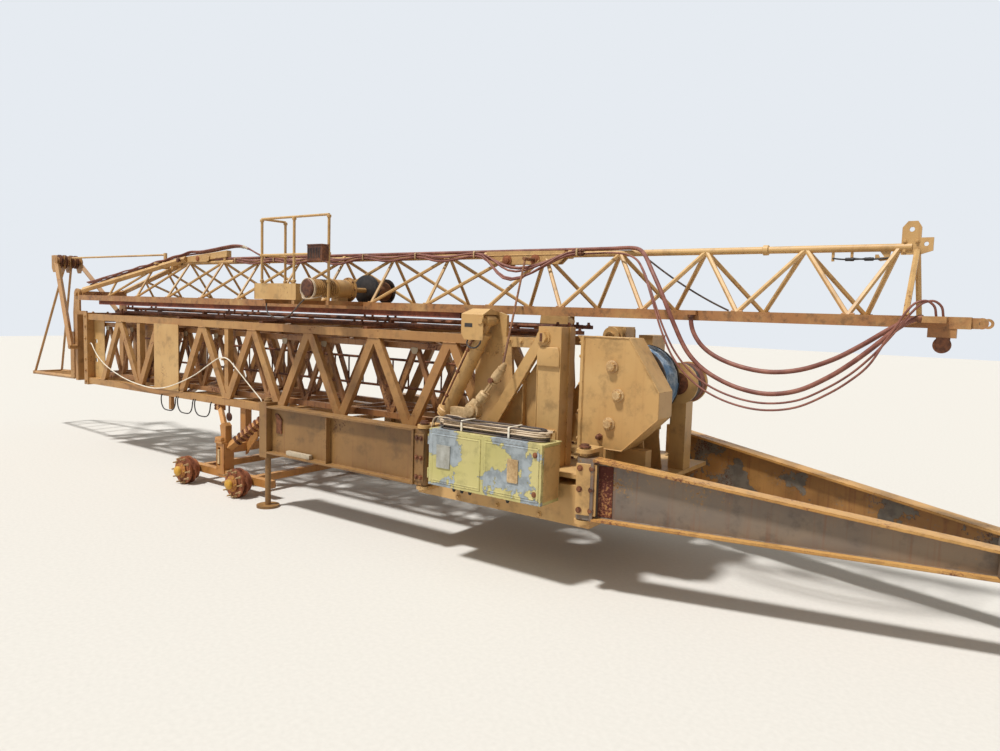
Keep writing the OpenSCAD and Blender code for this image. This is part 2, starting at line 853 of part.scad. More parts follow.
// Clip that holds a hose on the near side of the top chord
module clip(x) {
    high = jib_top - clip_hose_r - 2 * gap;
    box([x - 6, clip_hose_y - clip_hose_r - 7, high - 8], [x + 6, -jib_top_r + 6, high]);
    box([x - 6, -jib_top_r - 1, high - 8], [x + 6, 0, jib_top - 5]);
}

module jib_bottom_face() {
    place() color(ochre)
        cross_face(jib_half - jib_chord, jib_node(0), jib_pitch, 13, jib_z + 20, 45, 45);
}

// Foot block of the jib, with the two eyes that turn on the mast head's pin
module jib_foot() {
    place() color(ochre)
        difference() {
            union() {
                for (side = [-1, 1])
                    pin(pivot_x, pivot_z, side * 345 - 35, side * 345 + 35, 85);
                both_sides()
                    box([pivot_x, -380, pivot_z - 60], [jib_left + 120 - gap, -310, pivot_z + 60]);
                box([jib_left + 60, -380, pivot_z - 50], [jib_left + 110, 380, pivot_z + 50]);
            }
            pin(pivot_x, pivot_z, -500, 500, pivot_r + 1);
        }
}

module jib_yoke() {
    place() color(ochre)
        both_sides()
            difference() {
                plate([[yoke_x0, 3110], [yoke_x0 + 70, 3060], [yoke_x1 - 80, 3060], [yoke_x1, 3130],
                    [yoke_x1, 3200], [yoke_x0, 3210]], -yoke_face - yoke_t, -yoke_face);
                for (x = yoke_holes)
                    pin(x, yoke_hole_z, -yoke_face - yoke_t - 1, 0, yoke_hole_r);
            }
}

module jib_end_frame() {
    place() color(ochre) {
        difference() {
            union() {
                plate([[3320, 3100], [3320, 3320], [3360, 3370], [3430, 3370], [3460, 3320],
                    [3460, 3235], [3550, 3235], [3550, 3130], [3460, 3100]], -14, 14);
            }
            pin(3390, 3304, -20, 20, 20);
            pin(3500, 3184, -20, 20, 18);
            translate([3000, 0, jib_top])
                rotate([0, 90, 0])
                    cylinder(h = 400 + gap, r = jib_top_r + gap, $fn = 24);
        }
        box([hose_end_x, -560, jib_z + 40], [3730, -jib_half - gap, jib_z + jib_chord - gap]);
        box([3600, -jib_half + 5, jib_z - 70], [3790, -jib_half + 75, jib_z - gap]);
        both_sides()
            difference() {
                union() {
                    pin(jib_right + 65, jib_chord_mid, -jib_chord_y - 12, -jib_chord_y + 12, 42);
                    box([jib_right + gap, -jib_chord_y - 12, jib_z + 5],
                        [jib_right + 65, -jib_chord_y + 12, jib_z + jib_chord - 5]);
                }
                pin(jib_right + 65, jib_chord_mid, -jib_chord_y - 13, -jib_chord_y + 13, 20);
            }
        both_sides()
            difference() {
                bar([3440, -jib_chord_y, jib_z + jib_chord + gap], [3440, -20, 3130], 24, 6);
                box([3000, -900, 0], [3900, 0, jib_z + jib_chord + gap]);
            }
    }
}

// JIB FITTINGS

module service_cage() {
    x = [-3740, -3120, cage_x];
    y0 = cage_y;
    y1 = -610;
    z0 = jib_z + jib_chord;
    z1 = 3600;
    place() color(ochre) {
        for (p = [[x[0], y0], [x[1], y0], [x[2], y0], [x[0], y1]])
            bar([p.x, p.y, z0], [p.x, p.y, z1], cage_r, 8);
        for (z = [z1, 3150]) {
            bar([x[0], y0, z], [x[2], y0, z], cage_r - 2, 8);
            bar([x[0], y0, z], [x[0], y1, z], cage_r - 2, 8);
        }
        difference() {
            box([-3860, y0 - 20, z0], [-3060, y1 + 20, z0 + 200]);
            box([-3850, y0 - 10, z0 + 12], [-3070, y1 + 10, z0 + 201]);
        }
        for (cx = [-3700, -3140, x[2] - 25])
            box([cx, y0 - 20, jib_z + 40], [cx + 50, -jib_half - gap, z0 + 1]);
    }
}

module trolley_winch_motor() {
    place() color("#a5793f") {
        pin(winch_x, winch_z, -1130, -760, 90);
        pin(winch_x, winch_z, -760, -560, 115);
        pin(winch_x, winch_z, -560, -500, 125);
        pin(winch_x, winch_z, -500, 230, 30);
        box([winch_x - 60, -740, jib_z + 50], [winch_x + 60, -580, winch_z]);
        box([winch_x - 120, -740, jib_z + 50], [winch_x + 120, -jib_half - gap, jib_z + jib_chord - gap]);
    }
}

module trolley_winch_drum() {
    place() color("#3b3835")
        difference() {
            union() {
                pin(winch_x, winch_z, -130, 130, 110);
                for (y = [-150, 130])
                    pin(winch_x, winch_z, y, y + 20, 160);
            }
            pin(winch_x, winch_z, -200, 200, 31);
        }
}

module resistor_box() {
    y1 = cage_y - cage_r - gap;
    place() color("#8a6a4a")
        box([cage_x - 240, y1 - 100, 3060], [cage_x + 20, y1, 3240]);
}

// Tie between the strut head and the jib, on a saddle over the wedge tubes
module tie_rod() {
    slope = (wedge_z(0) - wedge_z(-1000)) / 1000;
    z = wedge_z(saddle_x) + wedge_r * sqrt(1 + slope * slope) + gap;
    place() color(ochre) {
        bar([-10820, 0, 3300], [saddle_x - 40, 0, 3300], 16, 8);
        box([saddle_x - 80, -180, z], [saddle_x, 180, z + 25]);
        box([saddle_x - 70, -15, z], [saddle_x - 10, 15, 3330]);
    }
}

module pendant() {
    top = [yoke_holes[1], -250, yoke_hole_z];
    low = [51, -1000, 1986];
    socket = [-60, -1000, 1830];
    eye = [-290, 1535];
    place() color("#8d8173") {
        pin(top.x, top.z, -280, 75, yoke_hole_r - gap);
        bar(top, low, 12, 8);
        bar(low, socket, 34, 8);
        for (y = [-28, 28])
            bar(socket + [30, y, 42], [eye.x + 60, -1000 + y, eye.y + 90], 15, 6);
        bar([-170, -1000, 1690], [eye.x, -1000, eye.y], 40, 8);
        difference() {
            pin(eye.x, eye.y, -1045, -955, 85);
            pin(eye.x, eye.y, -1046, -954, 30);
        }
        box([-560, -1040, 1440], [eye.x - 40, -960, 1550]);
    }
}

// BOGIE

module bogie_frame() {
    xm = (axle_x[0] + axle_x[1]) / 2;
    z = hub_r;
    post_y0 = -hub_y + 110;
    place() color(ochre) {
        both_sides() {
            box([xm - 1050, -hub_y + 120, z - 40], [xm + 1050, -hub_y + 220, z + 60]);
            for (x = axle_x) {
                pin(x, z, -hub_y - 130, -hub_y + 121, 45);
                pin(x, z, -hub_y - 165, -hub_y - 129, 62);
            }
            difference() {
                box([xm - 80, post_y0, z], [xm + 80, post_y0 + 160, 620]);
                box([xm - 60, post_y0 - 1, z + 120], [xm - 5, post_y0 + 30, 560]);
            }
            box([xm - 100, post_y0 - 20, 619], [xm + 60, post_y0 + 170, 645]);
            plate([[xm - 30, 644], [xm + 60, 644], [xm + 60, 860], [xm + 10, 900], [xm - 70, 860]],
                post_y0 + 40, post_y0 + 140);
            box([xm - 60, -560, 480], [xm + 60, -460, mast_z - gap]);
            bar([xm - 560, -540, mast_z - 50], [xm - 20, post_y0 + 90, 820], 42, 4);
            bar([xm + 540, -540, mast_z - 50], [xm + 70, post_y0 + 90, 560], 62, 4);
            plate([[xm + 60, 420], [xm + 560, 960], [xm + 560, mast_z - gap], [xm + 500, mast_z - gap],
                [xm + 60, 560]], -560, -530);
            for (dx = [-560, 540])
                box([xm + dx - 70, -590, mast_z - 90], [xm + dx + 70, -500, mast_z - gap]);
        }
        box([xm - 80, post_y0 + 80, 480], [xm + 80, -post_y0 - 80, 600]);
        for (x = axle_x)
            box([x - 45, -hub_y + 200, z - 45], [x + 45, hub_y - 200, z + 45]);
    }
}

module wheel_hub(x, side) {
    y = side * hub_y;
    color("#a0522d")
        difference() {
            union() {
                pin(x, hub_r, y - 90, y + 90, hub_r - 50);
                pin(x, hub_r, y - 12, y + 12, hub_r);
                pin(x, hub_r, y + (side < 0 ? -90 : 66), y + (side < 0 ? -66 : 90), hub_r);
            }
            pin(x, hub_r, y - 200, y + 200, 46);
            for (k = [0 : wheel_studs - 1])
                pin(x + stud_circle_r * cos(360 * k / wheel_studs),
                    hub_r + stud_circle_r * sin(360 * k / wheel_studs), y - 200, y + 200, 11);
        }
}

module hub_front_near() { place() wheel_hub(axle_x[1], -1); }
module hub_front_far() { place() wheel_hub(axle_x[1], 1); }
module hub_rear_near() { place() wheel_hub(axle_x[0], -1); }
module hub_rear_far() { place() wheel_hub(axle_x[0], 1); }

// RAMS

// Places the children with +Z along the ram, from its head down to its foot
module along_ram() {
    translate([ram_top_x, -ram_y, ram_top_z])
        rotate([0, ram_lean + 180, 0])
            children();
}

module ram_barrels() {
    place() color(ochre)
        both_sides()
            along_ram() {
                difference() {
                    union() {
                        translate([0, -75, 0])
                            rotate([-90, 0, 0])
                                cylinder(h = 150, r = 55, $fn = 32);
                        cylinder(h = 135, r = 50, $fn = 32);
                        translate([0, 0, 130])
                            cylinder(h = 40, r = ram_r + 9, $fn = 48);
                        translate([0, 0, 130])
                            cylinder(h = 1040, r = ram_r, $fn = 48);
                    }
                    translate([0, -91, 0])
                        rotate([-90, 0, 0])
                            cylinder(h = 182, r = 35, $fn = 32);
                    translate([0, 0, 160])
                        cylinder(h = 1100, r = rod_r + 1, $fn = 32);
                }
            }
}

module ram_rods() {
    place() color("#9c9a94")
        both_sides()
            along_ram()
                difference() {
                    union() {
                        translate([0, 0, 165])
                            cylinder(h = ram_len - 165, r = rod_r, $fn = 32);
                        translate([0, -26, ram_len])
                            rotate([-90, 0, 0])
                                cylinder(h = 52, r = 60, $fn = 32);
                    }
                    for (y = [-100, 26])
                        translate([-100, y, ram_len - rod_eye_l])
                            cube([200, 74, 200]);
                }
}

// CORDS

mast_rope_points = [[-9000, -570, 1776], [-8975, -570, 1776], [-8940, -573, 1764], [-8800, -603, 1680],
    [-8600, -632, 1566], [-8370, -645, 1456], [-8000, -645, 1330], [-7600, -645, 1241],
    [-7250, -645, 1198], [-6920, -645, 1179], [-6640, -645, 1200], [-6380, -645, 1255],
    [-6050, -645, 1356], [-5710, -645, 1486], [-5450, -645, 1615], [-5230, -645, 1722],
    [-5130, -645, 1756], [-5020, -645, 1767], [-4930, -645, 1748], [-4850, -645, 1706],
    [-4690, -645, 1596], [-4530, -645, 1483], [-4350, -645, 1358], [-4240, -645, 1284],
    [-4182, -645, 1238], [-4182, -645, 1200]];
long_hose_points = [[-6450, 0, 3212.5], [-3000, 0, 3212.5], [680, 0, 3212.5], [790, -12, 3214],
    [900, -50, 3210],
    [1040, -140, 3186], [1180, -290, 3110], [1320, -430, 2960], [1460, -515, 2760], [1600, -530, 2480],
    [1735, -530, 2240], [1860, -530, 2112], [2020, -530, 2015], [2230, -530, 1940], [2470, -530, 1913],
    [2710, -531, 1962], [2940, -532, 2090], [3080, -533, 2195], [3200, -534, 2300], [3310, -535, 2405],
    [3400, -535, 2493], [3480, -535, 2553], [3540, -535, 2580], [3569.7, -535, 2580]];
short_hose_points = [[1740, -470, 2559.7], [1740, -470, 2500], [1770, -470, 2400], [1850, -470, 2290],
    [1980, -470, 2200], [2200, -470, 2125], [2450, -470, 2095], [2700, -470, 2130], [2950, -472, 2230],
    [3150, -476, 2352], [3300, -479, 2458], [3400, -480, 2525], [3480, -480, 2565], [3540, -480, 2580],
    [3569.7, -480, 2580]];

// Direction of a route at point i
function heading(pts, i) =
    let (a = pts[max(i - 1, 0)], b = pts[min(i + 1, len(pts) - 1)]) (b - a) / norm(b - a);

// Ring of a swept tube: sides across the route, starting from the Y direction
function ring(c, d, r, sides) =
    let (u = cross(d, [0, 1, 0]), v = u / norm(u), w = cross(v, d))
    [for (k = [0 : sides - 1]) c + r * (cos(360 * k / sides) * v + sin(360 * k / sides) * w)];

module swept_tube(pts, r, sides = 8) {
    n = len(pts);
    verts = [for (i = [0 : n - 1]) each ring(pts[i], heading(pts, i), r, sides)];
    caps = [[for (k = [0 : sides - 1]) k],
        [for (k = [0 : sides - 1]) (n - 1) * sides + sides - 1 - k]];
    walls = [for (i = [0 : n - 2]) for (k = [0 : sides - 1])
        [i * sides + k, (i + 1) * sides + k, (i + 1) * sides + (k + 1) % sides,
            i * sides + (k + 1) % sides]];
    polyhedron(points = verts, faces = concat(caps, walls), convexity = 8);
}

module mast_rope() {
    place() color("#e6dcc8")
        swept_tube(mast_rope_points, rope_r);
}

module jib_hose() {
    place() color("#7d4a38") {
        swept_tube(long_hose_points, hose_r);
        swept_tube(short_hose_points, hose_r);
    }
}

// Sag of the clipped hose at a place f along bay k, from clip to clip; it hangs deepest below the yoke
function hose_sag(k, f) =
    (k == len(hose_clips) - 2 ? 150 : 34 + 12 * ((k * 7) % 3)) * pow(sin(180 * f), 2);

// Route of the clipped hose, on the outside of the bracing on the jib's near side
function hose_route(steps) =
    [for (k = [0 : len(hose_clips) - 2]) for (i = [0 : steps - 1 + floor((k + 1) / (len(hose_clips) - 1))])
        let (f = i / steps, sag = hose_sag(k, f), bay = hose_clips[k + 1] - hose_clips[k])
            [hose_clips[k] + f * bay, clip_hose_y - 0.75 * sag, jib_top - sag]];

module clipped_hoses() {
    place() color("#7d4a38")
        swept_tube(hose_route(10), clip_hose_r);
}

// Hank of supply cable that lies on the cabinet
module power_cable() {
    y = cabinet_y + door_t + gap + cabinet_d / 2;
    z = cabinet_z + cabinet_h + gap;
    place() color("#b8a58c") {
        for (x = [cabinet_x + 130, cabinet_x + cabinet_l - 130])
            translate([x, y, z])
                cylinder(h = hank_h, r = hank_r, $fn = 32);
        box([cabinet_x + 130, y - hank_r, z], [cabinet_x + cabinet_l - 130, y + hank_r, z + hank_h]);
    }
}

base_frame();
slew_platform();
hinge_posts();
ballast_boxes();
hoist_drum();
hoist_stand();
electric_cabinet();
cabinet_door();
outrigger_rear_near();
outrigger_rear_far();
outrigger_front_near();
outrigger_front_far();
mast_side_near();
mast_side_far();
mast_top_face();
mast_bottom_face();
mast_foot();
mast_collar();
mast_side_panel();
inner_side_near();
inner_side_far();
inner_top_face();
inner_bottom_face();
mast_head();
head_strut();
head_lattice();
tie_bars();
jib_side_near();
jib_side_far();
jib_top_chord();
jib_bottom_face();
jib_foot();
jib_yoke();
jib_end_frame();
service_cage();
trolley_winch_motor();
trolley_winch_drum();
resistor_box();
tie_rod();
bogie_frame();
hub_front_near();
hub_front_far();
hub_rear_near();
hub_rear_far();
ram_barrels();
ram_rods();
pendant();
mast_rope();
jib_hose();
clipped_hoses();
power_cable();
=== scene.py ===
import json
import math
import random

import bpy
from mathutils import Matrix, Vector


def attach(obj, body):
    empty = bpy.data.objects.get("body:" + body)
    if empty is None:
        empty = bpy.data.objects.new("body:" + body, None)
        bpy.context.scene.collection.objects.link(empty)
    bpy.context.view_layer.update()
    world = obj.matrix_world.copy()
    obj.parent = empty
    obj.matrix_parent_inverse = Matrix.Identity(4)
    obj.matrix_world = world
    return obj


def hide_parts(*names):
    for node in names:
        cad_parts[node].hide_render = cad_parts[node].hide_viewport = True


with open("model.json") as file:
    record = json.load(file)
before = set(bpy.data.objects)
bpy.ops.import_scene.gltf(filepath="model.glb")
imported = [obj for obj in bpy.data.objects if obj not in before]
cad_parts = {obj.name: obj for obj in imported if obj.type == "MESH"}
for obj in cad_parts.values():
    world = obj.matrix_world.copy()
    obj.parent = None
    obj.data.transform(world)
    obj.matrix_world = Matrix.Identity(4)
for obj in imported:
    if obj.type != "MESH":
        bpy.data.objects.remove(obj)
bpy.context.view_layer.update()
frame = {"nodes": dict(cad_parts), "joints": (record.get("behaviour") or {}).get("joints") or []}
scene = bpy.context.scene

# Places are written in metres from the slewing axis, as in the part's source. AXIS brings them to the frame.
HINGE = Vector((0.39, 0.0, 2.30))
AXIS = Vector(next(j["pos_m"] for j in frame["joints"] if j["name"] == "mast_raise")) - HINGE


def at(x, y, z):
    """A place measured from the slewing axis, in the frame."""
    return AXIS + Vector((x, y, z))


# CAMERA, FLOOR AND LIGHT

PHOTO_WIDTH = 1000
PHOTO_HEIGHT = 751
FOCAL_PX = 751
VIEW_AZIMUTH = math.radians(35.6)
VIEW_DOWN = math.radians(4.97)
VIEW_ROLL = math.radians(1.7)
CAMERA_PLACE = at(4.30, -6.97, 2.55)
WORLD_LEVEL = 0.36
# Name, direction of the light, power, and the sun's apparent size in degrees
LAMPS = [("key", (0.15, 0.40, -0.90), 3.7, 6), ("fill", (0.7, 0.5, -0.5), 0.25, 40)]


def make_camera():
    data = bpy.data.cameras.new("camera")
    data.sensor_width = 36
    data.lens = data.sensor_width * FOCAL_PX / PHOTO_WIDTH
    data.clip_start = 0.1
    data.clip_end = 200
    camera = bpy.data.objects.new("camera", data)
    scene.collection.objects.link(camera)
    ahead = Vector((-math.sin(VIEW_AZIMUTH) * math.cos(VIEW_DOWN),
                    math.cos(VIEW_AZIMUTH) * math.cos(VIEW_DOWN), -math.sin(VIEW_DOWN)))
    turn = ahead.to_track_quat("-Z", "Y").to_matrix() @ Matrix.Rotation(VIEW_ROLL, 3, "Z")
    camera.location = CAMERA_PLACE
    camera.rotation_euler = turn.to_euler()
    scene.camera = camera


def make_light():
    world = bpy.data.worlds.new("studio")
    scene.world = world
    world.use_nodes = True
    tree = world.node_tree
    tree.nodes.clear()
    path = node(tree, "LightPath")
    seen = node(tree, "Math", {0: path.outputs["Is Camera Ray"], 1: path.outputs["Is Glossy Ray"]},
                operation="MAXIMUM")
    seen = node(tree, "Math", {0: seen.outputs[0], 1: path.outputs["Is Transmission Ray"]},
                operation="MAXIMUM")
    light = node(tree, "Background", {"Color": linear("#f4f1ea"), "Strength": WORLD_LEVEL})
    shown = node(tree, "Background", {"Color": linear("#e6ebf1"), "Strength": 1.0})
    mix = node(tree, "MixShader", {0: seen.outputs[0], 1: light.outputs[0], 2: shown.outputs[0]})
    node(tree, "OutputWorld", {"Surface": mix.outputs[0]})
    for name, ahead, power, size in LAMPS:
        data = bpy.data.lights.new(name, "SUN")
        data.energy = power
        data.angle = math.radians(size)
        lamp = bpy.data.objects.new(name, data)
        lamp.rotation_euler = Vector(ahead).to_track_quat("-Z", "Y").to_euler()
        scene.collection.objects.link(lamp)


def make_floor():
    bpy.ops.mesh.primitive_plane_add(size=90, location=(0, 12, 0))
    floor = bpy.context.object
    floor.name = "floor"
    floor.data.materials.append(plain("floor_screed", "#d8d4cc", 0.9))


# MATERIALS

def linear(code):
    """An sRGB hex colour as linear numbers."""
    parts = [int(code[i:i + 2], 16) / 255 for i in (1, 3, 5)]
    return [c / 12.92 if c <= 0.04045 else ((c + 0.055) / 1.055) ** 2.4 for c in parts] + [1.0]


def node(tree, kind, wires=None, **settings):
    """Adds a node with its settings. wires gives an input's name or number its value or its link."""
    made = tree.nodes.new("ShaderNode" + kind)
    for key, value in settings.items():
        setattr(made, key, value)
    for key, value in (wires or {}).items():
        if isinstance(value, bpy.types.NodeSocket):
            tree.links.new(value, made.inputs[key])
        else:
            made.inputs[key].default_value = value
    return made


def new_material(name):
    material = bpy.data.materials.new(name)
    material.use_nodes = True
    material.node_tree.nodes.clear()
    return material, material.node_tree


def plain(name, colour, roughness):
    """A matt surface with a faint mottle, 40 mm across."""
    material, tree = new_material(name)
    place = node(tree, "TexCoord")
    mottle = node(tree, "TexNoise", {"Vector": place.outputs["Object"], "Scale": per_mm(40), "Detail": 3.0})
    shade = node(tree, "Mix", {0: mottle.outputs[0], 6: linear(colour), 7: linear(darker(colour, 0.94))},
                 data_type="RGBA")
    shader = node(tree, "BsdfPrincipled", {"Base Color": shade.outputs[2], "Roughness": roughness})
    node(tree, "OutputMaterial", {"Surface": shader.outputs[0]})
    return material


def per_mm(size):
    """The noise scale whose features are about size millimetres across."""
    return 1000 / size


def darker(code, share):
    return "#" + "".join(f"{int(int(code[i:i + 2], 16) * share):02x}" for i in (1, 3, 5))


def weathered_paint(name, paint, faded, under, rust, wear=0.5, patches=0.3, streaks=0.4, shine=0.5, peel=0.0,
                    wash=None):
    """Old brushed enamel on steel: chalky on top, rust at the edges and in spots, run marks down the sides.

    wear, patches, streaks and peel go from 0 to 1. under is the primer or old coat that shows round the rust
    and where the top coat peels in flakes a hand wide. wash is a colour and the height below which it lies
    over the coat, as rust and dust do on a lattice's bottom chords.
    """
    material, tree = new_material(name)
    place = node(tree, "TexCoord").outputs["Object"]
    shape = node(tree, "NewGeometry")

    def noise(size, detail=4.0, rough=0.55, where=place):
        return node(tree, "TexNoise", {"Vector": where, "Scale": per_mm(size), "Detail": detail,
                                       "Roughness": rough}).outputs[0]

    def step(value, low, high):
        return node(tree, "MapRange", {"Value": value, "From Min": low, "From Max": high},
                    interpolation_type="SMOOTHSTEP").outputs[0]

    def combine(operation, a, b):
        return node(tree, "Math", {0: a, 1: b}, operation=operation, use_clamp=True).outputs[0]

    def blend(share, a, b):
        return node(tree, "Mix", {0: share, 6: a, 7: b}, data_type="RGBA").outputs[2]

    # Sun-faded coat: large soft clouds, and paler where it faces up
    clouds = noise(900, 5.0)
    upward = node(tree, "SeparateXYZ", {0: shape.outputs["Normal"]}).outputs["Z"]
    bleach = combine("ADD", step(clouds, 0.35, 0.7), step(upward, 0.3, 1.4))
    coat = blend(bleach, linear(paint), linear(faded))
    grime = combine("MULTIPLY", step(noise(160, 6.0, 0.65), 0.48, 0.75), 0.55)
    coat = blend(grime, coat, linear(darker(paint, 0.62)))
    # Run marks, 40 mm wide and about a metre long
    column = node(tree, "Mapping", {"Vector": place, "Scale": (25.0, 25.0, 1.1)})
    marks = node(tree, "TexNoise", {"Vector": column.outputs[0], "Scale": 1.0, "Detail": 3.0}).outputs[0]
    marks = combine("MULTIPLY", step(marks, 0.52, 0.78), streaks)
    coat = blend(marks, coat, linear(rust))
    # Worn edges: the bevelled normal differs from the flat one within about 9 mm of an edge
    soft = node(tree, "Bevel", {"Radius": 0.009}, samples=4)
    meet = node(tree, "VectorMath", {0: soft.outputs[0], 1: shape.outputs["Normal"]}, operation="DOT_PRODUCT")
    edge = step(meet.outputs["Value"], 0.999, 0.93)
    ragged = step(noise(55, 6.0, 0.7), 0.62 - 0.25 * wear, 0.72 - 0.2 * wear)
    edge = combine("MULTIPLY", edge, ragged)
    # Rust that spreads in patches from spots about 20 mm across
    field = noise(420, 4.0)
    spots = noise(24, 8.0, 0.72)
    reach = node(tree, "Math", {0: field, 1: spots}, operation="MULTIPLY").outputs[0]
    patch = step(reach, 0.41 - 0.16 * patches, 0.47 - 0.16 * patches)
    halo = step(reach, 0.36 - 0.16 * patches, 0.44 - 0.16 * patches)
    coat = blend(halo, coat, linear(under))
    if peel:
        # Flakes 150 mm wide with torn edges, and a thin dark line of rust round them
        wide = node(tree, "Math", {0: noise(430, 2.0, 0.4), 1: 0.72}, operation="MULTIPLY").outputs[0]
        torn = node(tree, "Math", {0: noise(70, 6.0, 0.6), 1: 0.28, 2: wide},
                    operation="MULTIPLY_ADD").outputs[0]
        coat = blend(step(torn, 0.560 - 0.09 * peel, 0.568 - 0.09 * peel), coat, linear(darker(paint, 0.6)))
        coat = blend(step(torn, 0.566 - 0.09 * peel, 0.572 - 0.09 * peel), coat,
                     blend(step(noise(90, 5.0), 0.4, 0.65), linear(under), linear(darker(under, 0.82))))
    if wash:
        height = node(tree, "SeparateXYZ", {0: place}).outputs["Z"]
        below = step(height, wash[1] + 0.004, wash[1] - 0.004)
        below = combine("MULTIPLY", below, step(noise(300, 5.0, 0.6), 0.15, 0.6))
        coat = blend(below, coat, blend(step(noise(60, 6.0, 0.65), 0.45, 0.7), linear(wash[0]),
                                        linear(darker(wash[0], 0.72))))
    rusted = combine("MAXIMUM", edge, patch)
    tint = blend(noise(14, 5.0, 0.7), linear(rust), linear(darker(rust, 0.5)))
    colour = blend(rusted, coat, tint)
    gloss = node(tree, "MapRange", {"Value": rusted, "To Min": shine, "To Max": 0.92}).outputs[0]
    skin = node(tree, "Bump", {"Height": noise(9, 4.0), "Strength": 0.08, "Distance": 0.001})
    depth = node(tree, "Bump", {"Height": combine("SUBTRACT", 1.0, rusted), "Strength": 0.5,
                                "Distance": 0.0015, "Normal": skin.outputs[0]})
    shader = node(tree, "BsdfPrincipled", {"Base Color": colour, "Roughness": gloss,
                                           "Normal": depth.outputs[0]})
    node(tree, "OutputMaterial", {"Surface": shader.outputs[0]})
    return material


def bare_steel(name, light, dark, roughness=0.6, metallic=0.4, grain=30, above=None):
    """Rolled or cast steel gone brown: two tones of rust in flakes, rough to the touch.

    above is a height and the two tones over it, as where a rusty rope comes out of its pale socket.
    """
    material, tree = new_material(name)
    place = node(tree, "TexCoord").outputs["Object"]
    wide = node(tree, "TexNoise", {"Vector": place, "Scale": per_mm(260), "Detail": 4.0})
    fine = node(tree, "TexNoise", {"Vector": place, "Scale": per_mm(grain), "Detail": 8.0, "Roughness": 0.7})
    both = node(tree, "Math", {0: wide.outputs[0], 1: fine.outputs[0]}, operation="MULTIPLY")
    share = node(tree, "MapRange", {"Value": both.outputs[0], "From Min": 0.16, "From Max": 0.36})
    colour = node(tree, "Mix", {0: share.outputs[0], 6: linear(dark), 7: linear(light)}, data_type="RGBA")
    if above:
        height = node(tree, "SeparateXYZ", {0: place}).outputs["Z"]
        over = node(tree, "MapRange",
                    {"Value": height, "From Min": above[0] - 0.004, "From Max": above[0] + 0.004})
        other = node(tree, "Mix", {0: share.outputs[0], 6: linear(above[2]), 7: linear(above[1])},
                     data_type="RGBA")
        colour = node(tree, "Mix", {0: over.outputs[0], 6: colour.outputs[2], 7: other.outputs[2]},
                      data_type="RGBA")
    bump = node(tree, "Bump", {"Height": fine.outputs[0], "Strength": 0.35, "Distance": 0.002})
    shader = node(tree, "BsdfPrincipled", {"Base Color": colour.outputs[2], "Roughness": roughness,
                                           "Metallic": metallic, "Normal": bump.outputs[0]})
    node(tree, "OutputMaterial", {"Surface": shader.outputs[0]})
    return material


def sheath(name, colour, dust, lay_mm=14, ridged=0.0, roughness=0.62):
    """Rubber or fibre on a cord: dusty in clouds, with its lay as slanted ridges where ridged is over 0."""
    material, tree = new_material(name)
    where = node(tree, "TexCoord")
    clouds = node(tree, "TexNoise", {"Vector": where.outputs["Object"], "Scale": per_mm(120), "Detail": 6.0,
                                     "Roughness": 0.65})
    share = node(tree, "MapRange", {"Value": clouds.outputs[0], "From Min": 0.4, "From Max": 0.7})
    tint = node(tree, "Mix", {0: share.outputs[0], 6: linear(colour), 7: linear(dust)}, data_type="RGBA")
    wave = node(tree, "TexWave", {"Vector": where.outputs["Object"], "Scale": per_mm(lay_mm) / 6.3,
                                  "Distortion": 0.6}, bands_direction="DIAGONAL")
    bump = node(tree, "Bump", {"Height": wave.outputs[0], "Strength": ridged, "Distance": 0.002})
    shader = node(tree, "BsdfPrincipled", {"Base Color": tint.outputs[2], "Roughness": roughness,
                                           "Normal": bump.outputs[0]})
    node(tree, "OutputMaterial", {"Surface": shader.outputs[0]})
    return material


PRIMER = "#a17c4c"
RUST = "#84492b"

